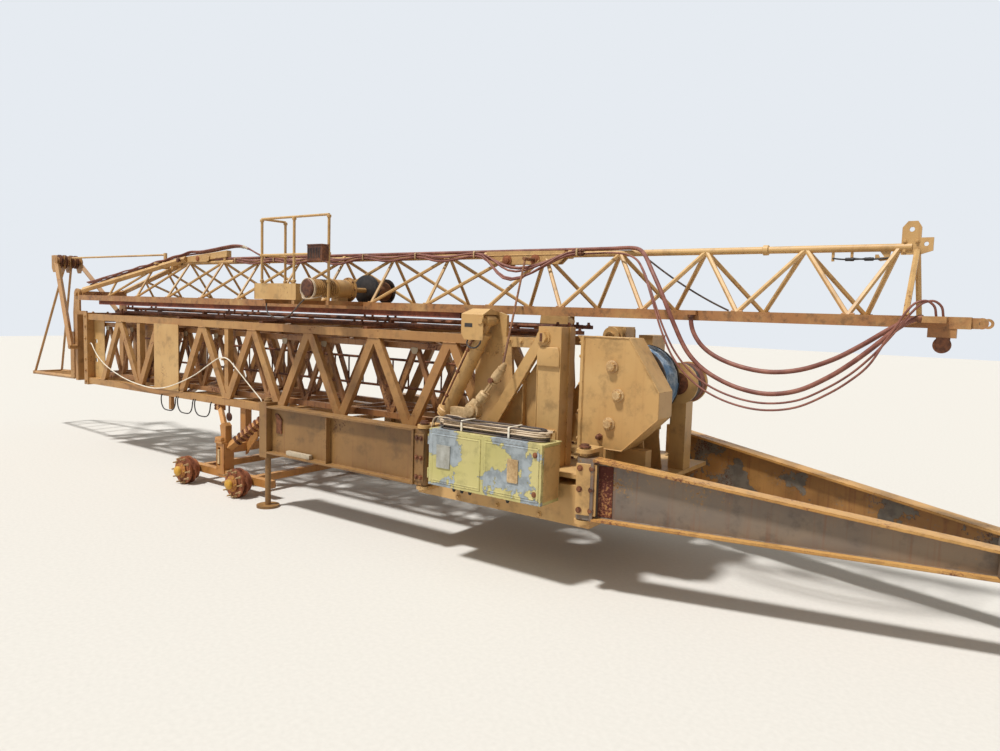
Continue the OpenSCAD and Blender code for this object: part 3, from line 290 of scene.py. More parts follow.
mats = {
    # Ochre enamel, chalky where it faces up, with primer and rust at the edges
    "base": weathered_paint("brushed_enamel_base", "#bd935a", "#c9a36b", PRIMER, RUST, 0.35, 0.10, 0.14),
    "mast": weathered_paint("brushed_enamel_mast", "#a37543", "#b38852", "#8d6237", RUST, 0.55, 0.28, 0.35),
    "inner": weathered_paint("brushed_enamel_inner_mast", "#8f5f35", "#a17548", "#7d5230", "#5e3120",
                             0.7, 0.6, 0.6),
    "jib": weathered_paint("brushed_enamel_jib", "#b98f58", "#cba56c", "#a77d4c", "#85502f", 0.1, 0.2, 0.25,
                           wash=("#9c6a3e", 2.60)),
    "jib_chord": weathered_paint("brushed_enamel_jib_chord", "#a87443", "#bd8f5c", "#90593a", "#7d4229",
                                 0.8, 0.45, 0.5),
    # The outriggers are dull and brown on the near side, flaked on the far side, yellow on the flanges. The rear
    # outriggers' brown is darker than their paint: painted shade.
    "arm": weathered_paint("brushed_enamel_outrigger_painted_shade", "#7a582f", "#8f6a3c", "#6b4c2b", "#6c3820",
                           0.6, 0.12, 0.30),
    "front_arm": weathered_paint("peeled_enamel_front_outrigger", "#6f6359", "#87745f", "#a3793f", "#7d4a2a",
                                 0.9, 0.16, 0.4),
    "far_arm": weathered_paint("rusty_enamel_far_outrigger", "#8a6030", "#a2763f", "#6f675c", "#6b3a20",
                               0.8, 0.5, 0.5, peel=0.25),
    "flange": weathered_paint("brushed_enamel_flange", "#b3803f", "#c39555", "#93623a", "#733c22",
                              0.9, 0.5, 0.2),
    # The bogie is orange-brown, the cabinet pale green-yellow with flakes down to grey
    "bogie": weathered_paint("brushed_enamel_bogie", "#b0783c", "#c08e54", "#93623a", "#85452a",
                             0.6, 0.4, 0.4),
    "cabinet": weathered_paint("peeled_enamel_cabinet", "#b7ae6c", "#c4b77c", "#9ea6aa", "#6b4a35",
                               0.6, 0.1, 0.08, 0.45, peel=0.55),
    "winch": weathered_paint("brushed_enamel_winch", "#a57c46", "#bb935e", "#8a6540", "#6e4026",
                             0.6, 0.4, 0.4),
    # Bare steel: brown and rough on castings, dark where oil lies, and a dull shine on the rods
    "rusty": bare_steel("rusted_mild_steel", "#8f5a3a", "#4a2d22"),
    "rust_red": weathered_paint("rusted_through_enamel", "#a8793f", "#b3854c", "#7d4427", "#63291a",
                                1.0, 0.95, 0.9),
    "rail": bare_steel("red_rusted_rail", "#8a4a30", "#54291c", 0.8, 0.1, 60),
    "hub": bare_steel("rusted_cast_hub", "#b26f42", "#74402a", 0.8, 0.15, 18),
    "drum": bare_steel("oily_rolled_drum", "#5b4a3e", "#2a2420", 0.55, 0.5, 40),
    "rod": bare_steel("dull_hard_chrome_rod", "#b3aea4", "#8c8377", 0.35, 0.8, 200),
    "hub_face": bare_steel("rusted_hub_face", "#c18746", "#8a5734", 0.8, 0.1, 24),
    # Small things that stand out from their paint: caps, primer, scuffed heads, plates, covers, and the black
    # that paints the shade inside slots
    "yellow_cap": weathered_paint("brushed_enamel_axle_cap", "#c9962f", "#cfa245", "#9a6a35", "#7d4426",
                                  0.5, 0.35, 0.1),
    "pale_primer": weathered_paint("chalked_primer", "#a8977c", "#b9aa92", "#8f7455", "#6b4530",
                                   0.6, 0.45, 0.3),
    "bolt_face": bare_steel("scuffed_bolt_heads", "#cfb07e", "#94683c", 0.6, 0.1, 22),
    "zinc": bare_steel("zinc_plated_label_plate", "#b4b3ab", "#8f8c80", 0.5, 0.3, 120),
    "black": bare_steel("sooty_black_cover_and_slot_shade", "#3a3532", "#1f1c1b", 0.6, 0.2, 60),
    # Ropes, hoses and cables, matt and dusty; the laid and plaited ones show their ridges
    "wire": bare_steel("weathered_wire_rope", "#9a6843", "#5e3c29", 0.75, 0.1, 8),
    "bright_wire": bare_steel("pale_greased_fittings", "#cfb184", "#9f7f55", 0.6, 0.1, 30),
    "pendant": bare_steel("greased_pendant_rope", "#cfb184", "#9f7f55", 0.7, 0.1, 30,
                          above=(2.02, "#9a6843", "#5e3c29")),
    "rope": sheath("laid_polyamide_rope", "#efe8d8", "#cdbfa6", 12, 0.5, 0.8),
    "hose": sheath("red_brown_hose_cover", "#6d3b2f", "#95604e", 30, 0.0, 0.55),
    "pale_cable": sheath("pale_rubber_cable", "#cdb79b", "#a38a6c"),
    "dark_cable": sheath("black_rubber_cable", "#3a322e", "#6e5b4d"),
    "blue_rope": sheath("blue_white_plaited_rope", "#54708c", "#c9d3da", 10, 0.6, 0.8),
}

NODE_FINISH = {
    "base": ["base_frame", "slew_platform", "hinge_posts", "ballast_boxes", "hoist_stand", "mast_foot",
             "mast_side_panel", "ram_barrels"],
    "mast": ["mast_side_near", "mast_side_far", "mast_top_face", "mast_bottom_face", "mast_collar",
             "mast_head", "head_strut", "head_lattice"],
    "inner": ["inner_side_near", "inner_side_far", "inner_top_face", "inner_bottom_face"],
    "jib": ["jib_side_near", "jib_side_far", "jib_top_chord", "jib_end_frame", "jib_yoke", "tie_rod",
            "service_cage"],
    "jib_chord": ["jib_bottom_face", "jib_foot"],
    "arm": ["outrigger_rear_near", "outrigger_rear_far"],
    "front_arm": ["outrigger_front_near"],
    "far_arm": ["outrigger_front_far"],
    "bogie": ["bogie_frame"],
    "cabinet": ["electric_cabinet", "cabinet_door"],
    "winch": ["trolley_winch_motor"],
    "rusty": ["resistor_box", "tie_bars"],
    "hub": ["hub_front_near", "hub_front_far", "hub_rear_near", "hub_rear_far"],
    "drum": ["hoist_drum", "trolley_winch_drum"],
    "rod": ["ram_rods"],
    "pendant": ["pendant"],
}


def finish_nodes():
    for finish, names in NODE_FINISH.items():
        for name in names:
            data = frame["nodes"][name].data
            data.materials.clear()
            data.materials.append(mats[finish])
            for polygon in data.polygons:
                polygon.material_index = 0


# CORDS

ROPE_R = 0.008
HOSE_R = 0.020
THIN_R = 0.009

MAST_ROPE_ROUTE = [
    (-9.000, -0.570, 1.776), (-8.975, -0.570, 1.776), (-8.940, -0.573, 1.764), (-8.800, -0.603, 1.680),
    (-8.600, -0.632, 1.566), (-8.370, -0.645, 1.456), (-8.000, -0.645, 1.330), (-7.600, -0.645, 1.241),
    (-7.250, -0.645, 1.198), (-6.920, -0.645, 1.179), (-6.640, -0.645, 1.200), (-6.380, -0.645, 1.255),
    (-6.050, -0.645, 1.356), (-5.710, -0.645, 1.486), (-5.450, -0.645, 1.615), (-5.230, -0.645, 1.722),
    (-5.130, -0.645, 1.756), (-5.020, -0.645, 1.767), (-4.930, -0.645, 1.748), (-4.850, -0.645, 1.706),
    (-4.690, -0.645, 1.596), (-4.530, -0.645, 1.483), (-4.350, -0.645, 1.358), (-4.240, -0.645, 1.284),
    (-4.182, -0.645, 1.238), (-4.182, -0.645, 1.200)]
LONG_HOSE_ROUTE = [
    (-6.450, 0, 3.2125), (-3.000, 0, 3.2125), (0.680, 0, 3.2125), (0.790, -0.012, 3.214),
    (0.900, -0.050, 3.210), (1.040, -0.140, 3.186), (1.180, -0.290, 3.110), (1.320, -0.430, 2.960),
    (1.460, -0.515, 2.760), (1.600, -0.530, 2.480), (1.735, -0.530, 2.240), (1.860, -0.530, 2.112),
    (2.020, -0.530, 2.015), (2.230, -0.530, 1.940), (2.470, -0.530, 1.913), (2.710, -0.531, 1.962),
    (2.940, -0.532, 2.090), (3.080, -0.533, 2.195), (3.200, -0.534, 2.300), (3.310, -0.535, 2.405),
    (3.400, -0.535, 2.493), (3.480, -0.535, 2.553), (3.540, -0.535, 2.580), (3.5697, -0.535, 2.580)]
SHORT_HOSE_ROUTE = [
    (1.740, -0.470, 2.5597), (1.740, -0.470, 2.500), (1.770, -0.470, 2.400), (1.850, -0.470, 2.290),
    (1.980, -0.470, 2.200), (2.200, -0.470, 2.125), (2.450, -0.470, 2.095), (2.700, -0.470, 2.130),
    (2.950, -0.472, 2.230), (3.150, -0.476, 2.352), (3.300, -0.479, 2.458), (3.400, -0.480, 2.525),
    (3.480, -0.480, 2.565), (3.540, -0.480, 2.580), (3.5697, -0.480, 2.580)]

THIN_HOSE_ROUTE = [
    (0.401, -0.0703, 3.160), (0.520, -0.075, 3.161), (0.660, -0.085, 3.162), (0.800, -0.110, 3.155),
    (0.940, -0.165, 3.130), (1.080, -0.255, 3.075), (1.200, -0.365, 2.975), (1.310, -0.465, 2.835),
    (1.420, -0.545, 2.650), (1.520, -0.582, 2.450), (1.640, -0.588, 2.240), (1.780, -0.588, 2.080),
    (1.950, -0.588, 1.960), (2.180, -0.588, 1.872), (2.450, -0.588, 1.838), (2.720, -0.588, 1.885),
    (2.950, -0.588, 2.010), (3.110, -0.588, 2.130), (3.240, -0.588, 2.262), (3.350, -0.588, 2.400),
    (3.430, -0.586, 2.515), (3.500, -0.580, 2.620), (3.570, -0.568, 2.695), (3.640, -0.548, 2.712),
    (3.690, -0.530, 2.672), (3.705, -0.516, 2.600)]


def smooth_line(points, steps=6):
    """Points on a smooth curve through the given ones (centripetal Catmull-Rom)."""
    line = []
    ends = [points[0] * 2 - points[1]] + points + [points[-1] * 2 - points[-2]]
    for i in range(1, len(ends) - 2):
        a, b, c, d = ends[i - 1:i + 3]
        knots = [0.0]
        for p, q in ((a, b), (b, c), (c, d)):
            knots.append(knots[-1] + max((q - p).length, 1e-6) ** 0.5)
        t0, t1, t2, t3 = knots
        for k in range(steps):
            t = t1 + (t2 - t1) * k / steps
            ab = a * ((t1 - t) / (t1 - t0)) + b * ((t - t0) / (t1 - t0))
            bc = b * ((t2 - t) / (t2 - t1)) + c * ((t - t1) / (t2 - t1))
            cd = c * ((t3 - t) / (t3 - t2)) + d * ((t - t2) / (t3 - t2))
            abc = ab * ((t2 - t) / (t2 - t0)) + bc * ((t - t0) / (t2 - t0))
            bcd = bc * ((t3 - t) / (t3 - t1)) + cd * ((t - t1) / (t3 - t1))
            line.append(abc * ((t2 - t) / (t2 - t1)) + bcd * ((t - t1) / (t2 - t1)))
    line.append(points[-1])
    return line


def curve_tube(name, line, radius, finish, body, resolution=2):
    """A round tube along a line of points, as a curve with one open spline."""
    data = bpy.data.curves.new(name, "CURVE")
    data.dimensions = "3D"
    data.bevel_depth = radius
    data.bevel_resolution = resolution
    data.use_fill_caps = True
    spline = data.splines.new("POLY")
    spline.points.add(len(line) - 1)
    for point, place in zip(spline.points, line):
        point.co = (*place, 1.0)
    spline.use_smooth = True
    tube = bpy.data.objects.new(name, data)
    scene.collection.objects.link(tube)
    data.materials.append(mats[finish])
    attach(tube, body)
    return tube


def cord(name, line, radius, finish, body, nodes=(), resolution=2):
    """A cord tube, in place of the CAD nodes that it stands for, which it hides."""
    tube = curve_tube(name, line, radius, finish, body, resolution)
    if nodes:
        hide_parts(*nodes)


def make_cords():
    for name, route, radius, finish, body, node_name, stiffness in (
            ("mast_rope_white", MAST_ROPE_ROUTE, ROPE_R, "rope", "mast", "mast_rope", "limp"),
            ("jib_hose_long", LONG_HOSE_ROUTE, HOSE_R, "hose", "jib", "jib_hose", "medium"),
            ("jib_hose_short", SHORT_HOSE_ROUTE, HOSE_R, "hose", "jib", "jib_hose", "medium")):
        cord(name, smooth_line([at(*p) for p in route]), radius, finish, body,
             [node_name], resolution=4)
    for name, out, drop, end in (("jib_hose_third", 0.0, 0.0, 3.705),
                                 ("jib_hose_fourth", 0.030, 0.055, 3.660)):
        route = []
        for x, y, z in THIN_HOSE_ROUTE:
            hang = max(0.0, min(1.0, (3.15 - z) / 0.9)) * (x < 3.3)
            arch = max(0.0, min(1.0, (x - 3.3) / 0.25))
            route.append((x - (3.705 - end) * arch, y - out * max(hang, 0.5 * arch), z - drop * hang))
        cord(name, smooth_line([at(*p) for p in route]), THIN_R, "hose", "jib",
             resolution=4)


# MAKING

def pick(*pieces):
    """Selects these pieces alone, the last one active."""
    bpy.ops.object.select_all(action="DESELECT")
    for piece in pieces:
        piece.select_set(True)
    bpy.context.view_layer.objects.active = pieces[-1]


def settle(piece):
    """Puts a piece's place, turn and size into its mesh."""
    pick(piece)
    bpy.ops.object.transform_apply(location=True, rotation=True, scale=True)
    return piece


def block(low, high):
    """A box between two corners, measured from the slewing axis: the start of a plate or a housing."""
    low, high = at(*low), at(*high)
    bpy.ops.mesh.primitive_cube_add(size=1, location=(low + high) / 2)
    bpy.context.object.scale = high - low
    return settle(bpy.context.object)


def bar(p, q, radius, sides=24):
    """A round bar from p to q, measured from the slewing axis."""
    p, q = at(*p), at(*q)
    bpy.ops.mesh.primitive_cylinder_add(vertices=sides, radius=radius, depth=(q - p).length,
                                        location=(p + q) / 2,
                                        rotation=(q - p).to_track_quat("Z", "Y").to_euler())
    return settle(bpy.context.object)


def facing(way):
    """Accepts the faces that look one way along an axis, such as "-y", or both ways, such as "y"."""
    axis = "xyz".index(way[-1])
    if len(way) == 1:
        return lambda centre, normal: abs(normal[axis]) > 0.9
    sign = -1 if way[0] == "-" else 1
    return lambda centre, normal: sign * normal[axis] > 0.9


def open_faces(piece, wanted):
    """Opens a piece in edit mode, with only the faces selected that wanted(centre, normal) accepts."""
    pick(piece)
    bpy.ops.object.mode_set(mode="EDIT")
    bpy.ops.mesh.select_mode(type="FACE")
    bpy.ops.mesh.select_all(action="DESELECT")
    bpy.ops.object.mode_set(mode="OBJECT")
    for face in piece.data.polygons:
        face.select = bool(wanted(face.center - AXIS, face.normal))
    bpy.ops.object.mode_set(mode="EDIT")


def close_up():
    bpy.ops.object.mode_set(mode="OBJECT")


def extrude(piece, wanted, move, grow=1.0):
    """Pulls the wanted faces out along move and scales them."""
    open_faces(piece, wanted)
    bpy.ops.mesh.extrude_region_move(TRANSFORM_OT_translate={"value": move})
    if grow != 1.0:
        bpy.ops.transform.resize(value=(grow, grow, grow))
    close_up()
    return piece


def recess(piece, wanted, rim, depth):
    """Insets the wanted faces by rim and sinks them by depth; a depth below 0 raises them."""
    open_faces(piece, wanted)
    bpy.ops.mesh.inset(thickness=rim, depth=-depth, use_individual=True)
    close_up()
    return piece


def soften(piece, width, segments=2):
    """Rounds the edges over 30 degrees."""
    pick(piece)
    rounding = piece.modifiers.new("rounding", "BEVEL")
    rounding.width = width
    rounding.segments = segments
    rounding.limit_method = "ANGLE"
    bpy.ops.object.modifier_apply(modifier=rounding.name)
    bpy.ops.object.shade_smooth_by_angle(angle=math.radians(35))
    return piece


def pressed(low, high, way, rim, depth, width, segments=2):
    """A block with a recess in the faces that look along way, and rounded edges."""
    return soften(recess(block(low, high), facing(way), rim, depth), width, segments)


def shell(piece, gone, wall):
    """Takes the unwanted faces away and gives the rest a wall."""
    open_faces(piece, gone)
    bpy.ops.mesh.delete(type="FACE")
    close_up()
    solid = piece.modifiers.new("wall", "SOLIDIFY")
    solid.thickness = wall
    solid.offset = 1
    pick(piece)
    bpy.ops.object.modifier_apply(modifier=solid.name)
    return piece


def circle(count, radius, a=0.0, b=0.0):
    """Places evenly round a circle, as for its bolts."""
    return [(a + radius * math.cos(math.tau * k / count), b + radius * math.sin(math.tau * k / count))
            for k in range(count)]


def turned(profile, start, along, sides=32):
    """A turned piece: profile holds (distance along the axis, radius), spun round the axis from start."""
    bpy.ops.mesh.primitive_circle_add(vertices=sides, radius=profile[0][1], fill_type="NGON")
    piece = bpy.context.object
    bpy.ops.object.mode_set(mode="EDIT")
    bpy.ops.mesh.select_all(action="SELECT")
    for (a, r), (b, s) in zip(profile, profile[1:]):
        bpy.ops.mesh.extrude_region_move(TRANSFORM_OT_translate={"value": (0, 0, b - a)})
        bpy.ops.transform.resize(value=(s / r, s / r, 1))
    bpy.ops.mesh.select_all(action="SELECT")
    bpy.ops.mesh.normals_make_consistent(inside=False)
    bpy.ops.object.mode_set(mode="OBJECT")
    piece.data.transform(Matrix.Translation((0, 0, profile[0][0])))
    piece.data.transform(Vector(along).to_track_quat("Z", "Y").to_matrix().to_4x4())
    piece.data.transform(Matrix.Translation(at(*start)))
    bpy.ops.object.shade_smooth_by_angle(angle=math.radians(35))
    return piece


def join(name, pieces, finish, body):
    """Makes one finished piece of several, with its name, finish and body."""
    pick(*pieces)
    if len(pieces) > 1:
        bpy.ops.object.join()
    piece = bpy.context.object
    piece.name = piece.data.name = name
    piece.data.materials.clear()
    piece.data.materials.append(mats[finish])
    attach(piece, body)
    return piece


def spread(master, spots):
    """Copies of a piece made at the origin along +Z, each with its own mesh, at (place, direction)."""
    copies = []
    for place, along in spots:
        twin = master.copy()
        twin.data = master.data.copy()
        scene.collection.objects.link(twin)
        twin.data.transform(Vector(along).to_track_quat("Z", "Y").to_matrix().to_4x4())
        twin.data.transform(Matrix.Translation(at(*place)))
        copies.append(twin)
    bpy.data.objects.remove(master)
    return copies


def bolt_master(radius, height, washer_radius=0.0, washer=0.0):
    """Hexagon head with a chamfer, on its washer, standing on the plane z = 0."""
    bpy.ops.mesh.primitive_cylinder_add(vertices=6, radius=radius, depth=height * 0.75,
                                        location=(0, 0, washer + height * 0.375))
    head = bpy.context.object
    bpy.ops.object.mode_set(mode="EDIT")
    bpy.ops.mesh.select_mode(type="FACE")
    bpy.ops.mesh.select_all(action="DESELECT")
    bpy.ops.object.mode_set(mode="OBJECT")
    for face in head.data.polygons:
        face.select = face.normal.z > 0.5
    bpy.ops.object.mode_set(mode="EDIT")
    bpy.ops.mesh.extrude_region_move(TRANSFORM_OT_translate={"value": (0, 0, height * 0.25)})
    bpy.ops.transform.resize(value=(0.82, 0.82, 1))
    bpy.ops.object.mode_set(mode="OBJECT")
    settle(head)
    if washer_radius:
        bpy.ops.mesh.primitive_cylinder_add(vertices=20, radius=washer_radius, depth=washer,
                                            location=(0, 0, washer / 2))
        ring = settle(bpy.context.object)
        pick(ring, head)
        bpy.ops.object.join()
        head = bpy.context.object
    bpy.ops.object.shade_smooth_by_angle(angle=math.radians(30))
    return head


def bolts(name, spots, radius, height, finish, body, washer_radius=0.0, washer=0.004):
    master = bolt_master(radius, height, washer_radius, washer if washer_radius else 0.0)
    return join(name, spread(master, spots), finish, body)


def weld(name, lines, finish, body, radius=0.006):
    """Weld beads along straight lines: lumpy runs of filler, one lump every 12 mm or so."""
    rng = random.Random(len(name) + len(lines))
    beads = []
    for p, q in lines:
        p, q = Vector(p), Vector(q)
        count = max(3, int((q - p).length / 0.035))
        data = bpy.data.curves.new(name, "CURVE")
        data.dimensions = "3D"
        data.bevel_depth = radius
        data.bevel_resolution = 1
        spline = data.splines.new("POLY")
        spline.points.add(count - 1)
        for i, point in enumerate(spline.points):
            place = at(*(p + (q - p) * (i / (count - 1))))
            point.co = (*place, 1.0)
            point.radius = 0.75 + 0.5 * rng.random()
        bead = bpy.data.objects.new(name, data)
        scene.collection.objects.link(bead)
        beads.append(bead)
    pick(*beads)
    bpy.ops.object.convert(target="MESH")
    return join(name, list(bpy.context.selected_objects), finish, body)


def winding(name, centre, radius, y0, y1, wire, finish, body, points=20):
    """A rope or cable wound side by side on a drum whose axis runs along Y."""
    turns = int((y1 - y0) / (2 * wire))
    step = (y1 - y0 - 2 * wire) / turns
    line = [at(centre[0] + (radius + wire) * math.cos(2 * math.pi * i / points),
               y0 + wire + step * i / points,
               centre[1] + (radius + wire) * math.sin(2 * math.pi * i / points))
            for i in range(turns * points + 1)]
    curve_tube(name, line, wire, finish, body, resolution=1)


def hose(name, points, radius, finish, body, steps=6):
    curve_tube(name, smooth_line([at(*p) for p in points], steps), radius, finish, body)


# PIECES

SIDES = (("near", -1), ("far", 1))
HANK_Y = -1.193
STRAP_WALL = 0.003


def dress_hubs():
    """Studs round the rims, axle caps with their screws, and the seal ring behind them."""
    for end, x in (("rear", -5.30), ("front", -4.12)):
        for side, s in SIDES:
            y = s * 1.03
            out = (0, s, 0)
            body = f"hub_{end}_{side}"
            bolts(f"studs_{end}_{side}", [((a, y + s * 0.09, z), out) for a, z in circle(10, 0.1675, x, 0.19)],
                  0.0105, 0.05, "bright_wire", body, 0.019, 0.014)
            cap = turned([(0, 0.075), (0.02, 0.075), (0.022, 0.108), (0.034, 0.108), (0.038, 0.086),
                          (0.05, 0.084), (0.052, 0.062)], (x, y + s * 0.088, 0.19), out)
            join(f"hub_face_{end}_{side}", [cap], "hub_face", body)
            dome = turned([(0, 0.066), (0.012, 0.066), (0.03, 0.058), (0.042, 0.036), (0.046, 0.01)],
                          (x, s * 1.19, 0.19), out)
            join(f"axle_cap_{end}_{side}", [dome], "yellow_cap", "mast")
            bolts(f"axle_cap_screws_{end}_{side}",
                  [((a, y + s * 0.122, z), out) for a, z in circle(6, 0.088, x, 0.19)],
                  0.010, 0.014, "yellow_cap", body)


def dress_bogie():
    xm = -4.71
    rings = []
    for side, s in SIDES:
        p = Vector((xm + 0.54, s * 0.54, 1.03))
        q = Vector((xm + 0.07, s * 0.83, 0.56))
        along = (q - p).normalized()
        for k in range(7):
            place = p + (q - p) * (0.16 + 0.1 * k)
            rings.append(turned([(0, 0.05), (0.006, 0.074), (0.026, 0.074), (0.032, 0.05)], place, along, 20))
    join("spring_collars", rings, "rusty", "mast")
    plates = []
    for side, s in SIDES:
        y = s * 0.93
        y0, y1 = sorted((y, y - s * 0.02))
        plates.append(pressed((xm - 0.058, y0, 0.33), (xm - 0.012, y1, 0.53), "y", 0.008, 0.004, 0.003))
    join("bogie_slot_bars", plates, "bright_wire", "mast")
    boxes = []
    for side, s in SIDES:
        y0, y1 = sorted((s * 0.93, s * 0.78))
        boxes.append(pressed((xm - 0.115, y0, 0.645), (xm + 0.03, y1, 0.700), "+z", 0.02, 0.012, 0.006))
    join("bogie_cap_blocks", boxes, "bogie", "mast")
    bolts("bogie_frame_bolts",
          [((xm + dx + ox, s * 0.591, 1.035 + oz), (0, s, 0)) for s in (-1, 1) for dx in (-0.56, 0.54)
           for ox in (-0.045, 0.045) for oz in (-0.022, 0.022)], 0.013, 0.012, "rusty", "mast", 0.02)
    weld("bogie_welds", [((x, s * 0.921, z), (x, s * 0.921, 0.615)) for s in (-1, 1)
                         for x, z in ((xm - 0.08, 0.25), (xm + 0.08, 0.25))], "bogie", "mast", 0.008)


def hank(heights, run0, run1, y, turns=2, points=48):
    """A flat hank: in along one layer, up at the middle, and out along the next."""
    line = []
    total = turns * 2 + 1
    for i in range(total * points + 1):
        turn = i / points
        if turn <= turns:
            reach, z = 0.100 - 0.02 * turn, heights[0]
        elif turn <= turns + 1:
            f = turn - turns
            reach, z = 0.100 - 0.02 * turns, heights[0] + (heights[1] - heights[0]) * (3 * f * f - 2 * f ** 3)
        else:
            reach, z = 0.100 - 0.02 * (total - turn), heights[1]
        line.append((turn % 1.0, reach, z))
    straight, bend = run1 - run0, math.pi * 0.08
    whole = 2 * (straight + bend)
    places = []
    for share, reach, z in line:
        s = share * whole
        if s < straight:
            places.append((run0 + s, y - reach, z))
        elif s < straight + bend:
            a = (s - straight) / 0.08 - math.pi / 2
            places.append((run1 + reach * math.cos(a), y + reach * math.sin(a), z))
        elif s < 2 * straight + bend:
            places.append((run1 - (s - straight - bend), y + reach, z))
        else:
            a = (s - 2 * straight - bend) / 0.08 + math.pi / 2
            places.append((run0 + reach * math.cos(a), y + reach * math.sin(a), z))
    return [at(*p) for p in places]


def make_hank():
    """The supply cables lie coiled on the cabinet's roof, tied with two bands."""
    for name, finish, heights in (("supply_cable_dark", "dark_cable", (1.3705, 1.3905)),
                                  ("supply_cable_pale", "pale_cable", (1.4105, 1.4300))):
        cord(name, hank(heights, -0.43, 0.64, HANK_Y), THIN_R, finish, "base",
             ["power_cable"])
    for name, finish, run0, run1, lift in (("control_cable_pale", "pale_cable", -0.47, 0.66, 1.4475),
                                           ("control_cable_dark", "dark_cable", -0.40, 0.60, 1.4605)):
        line = hank((lift, lift + 0.0005), run0, run1, HANK_Y)
        line = [p + Vector((0, 0.014 * math.sin(5.1 * p.x + lift * 90), 0)) for p in line]
        cord(name, line, 0.0062, finish, "base")
    # Two slack turns slip off the hank's left end and hang beside the cabinet
    for name, finish, radius, half, reach in (("slack_turn_pale", "pale_cable", 0.0062, 0.082, 0.47),
                                              ("slack_turn_dark", "dark_cable", 0.0050, 0.056, 0.38)):
        run = reach - half
        whole = 2 * run + math.pi * half
        route = []
        for k in range(49):
            s = whole * k / 48
            if s < run:
                along, across = s, half
            elif s > whole - run:
                along, across = whole - s, -half
            else:
                along = run + half * math.sin((s - run) / half)
                across = half * math.cos((s - run) / half)
            turn = min(max(0.0, along - 0.21) / 0.07, 1.3)
            rest = max(0.0, along - 0.21 - 0.07 * turn)
            reach_x = min(along, 0.21) + 0.07 * math.sin(turn) + rest * math.cos(turn)
            fall = 0.07 * (1 - math.cos(turn)) + rest * math.sin(turn)
            dive = 0.008 * (1 + math.cos(math.pi * min(1.0, along / 0.09)))
            route.append((-0.31 - reach_x, HANK_Y + across, 1.4667 + radius - fall - dive))
        cord(name, smooth_line([at(*p) for p in route], 3), radius, finish, "base")
    bands = []
    for x in (-0.20, 0.36):
        band = soften(block((x - 0.012, -1.306, 1.3605), (x + 0.012, -1.080, 1.472)), 0.03, 3)
        bands.append(shell(band, facing("x"), STRAP_WALL))
    join("hank_bands", bands, "rope", "base")


def dress_cabinet():
    """Pressed door panels, the seam round the door, two plain plates, a lock and the roof's lip."""
    y = -1.36
    panels = []
    for x0, x1 in ((-0.535, 0.085), (0.125, 0.745)):
        panel = block((x0, y - 0.006, 0.83), (x1, y + 0.004, 1.33))
        panel = recess(panel, facing("-y"), 0.022, 0.0)
        panel = recess(panel, lambda c, n: n.y < -0.9 and abs(c.x - (x0 + x1) / 2) < 0.05, 0.006, 0.005)
        panels.append(soften(panel, 0.003))
    join("door_panels", panels, "cabinet", "cabinet_door")
    plate = pressed((-0.455, y - 0.010, 0.985), (-0.285, y - 0.002, 1.215), "-y", 0.008, 0.001, 0.0015)
    join("door_plate_grey", [plate], "zinc", "cabinet_door")
    plate = pressed((0.40, y - 0.010, 0.97), (0.52, y - 0.002, 1.19), "-y", 0.007, 0.001, 0.0015)
    join("door_plate_beige", [plate], "bright_wire", "cabinet_door")
    bolts("door_plate_rivets", [((x, y - 0.0098, z), (0, -1, 0)) for x0, x1, z0, z1 in
                                ((-0.445, -0.295, 0.995, 1.205), (0.407, 0.513, 0.978, 1.182))
                                for x in (x0, x1) for z in (z0, z1)], 0.0045, 0.003, "zinc", "cabinet_door")
    locks = [turned([(0, 0.026), (0.008, 0.026), (0.010, 0.018), (0.018, 0.017), (0.020, 0.012)],
                    (0.70, y + 0.001, z), (0, -1, 0), 24) for z in (0.90, 1.26)]
    join("door_locks", locks, "rusty", "cabinet_door")
    lip = block((-0.572, -1.342, 1.352), (0.782, -1.036, 1.3605))
    lip = extrude(lip, facing("+z"), (0, 0, 0.0015), 0.985)
    join("cabinet_roof_lip", [soften(lip, 0.002)], "cabinet", "base")
    sheet = pressed((0.769, -1.325, 0.83), (0.776, -1.06, 1.33), "+x", 0.03, 0.004, 0.002)
    join("cabinet_side_sheet", [sheet], "base", "base")
    glands = [turned([(0, 0.026), (0.012, 0.026), (0.014, 0.020), (0.035, 0.019), (0.055, 0.012)],
                     (x, -1.27, 0.802), (0, 0, -1), 20) for x in (-0.30, -0.20, -0.10, 0.35)]
    join("cabinet_glands", glands, "black", "base")


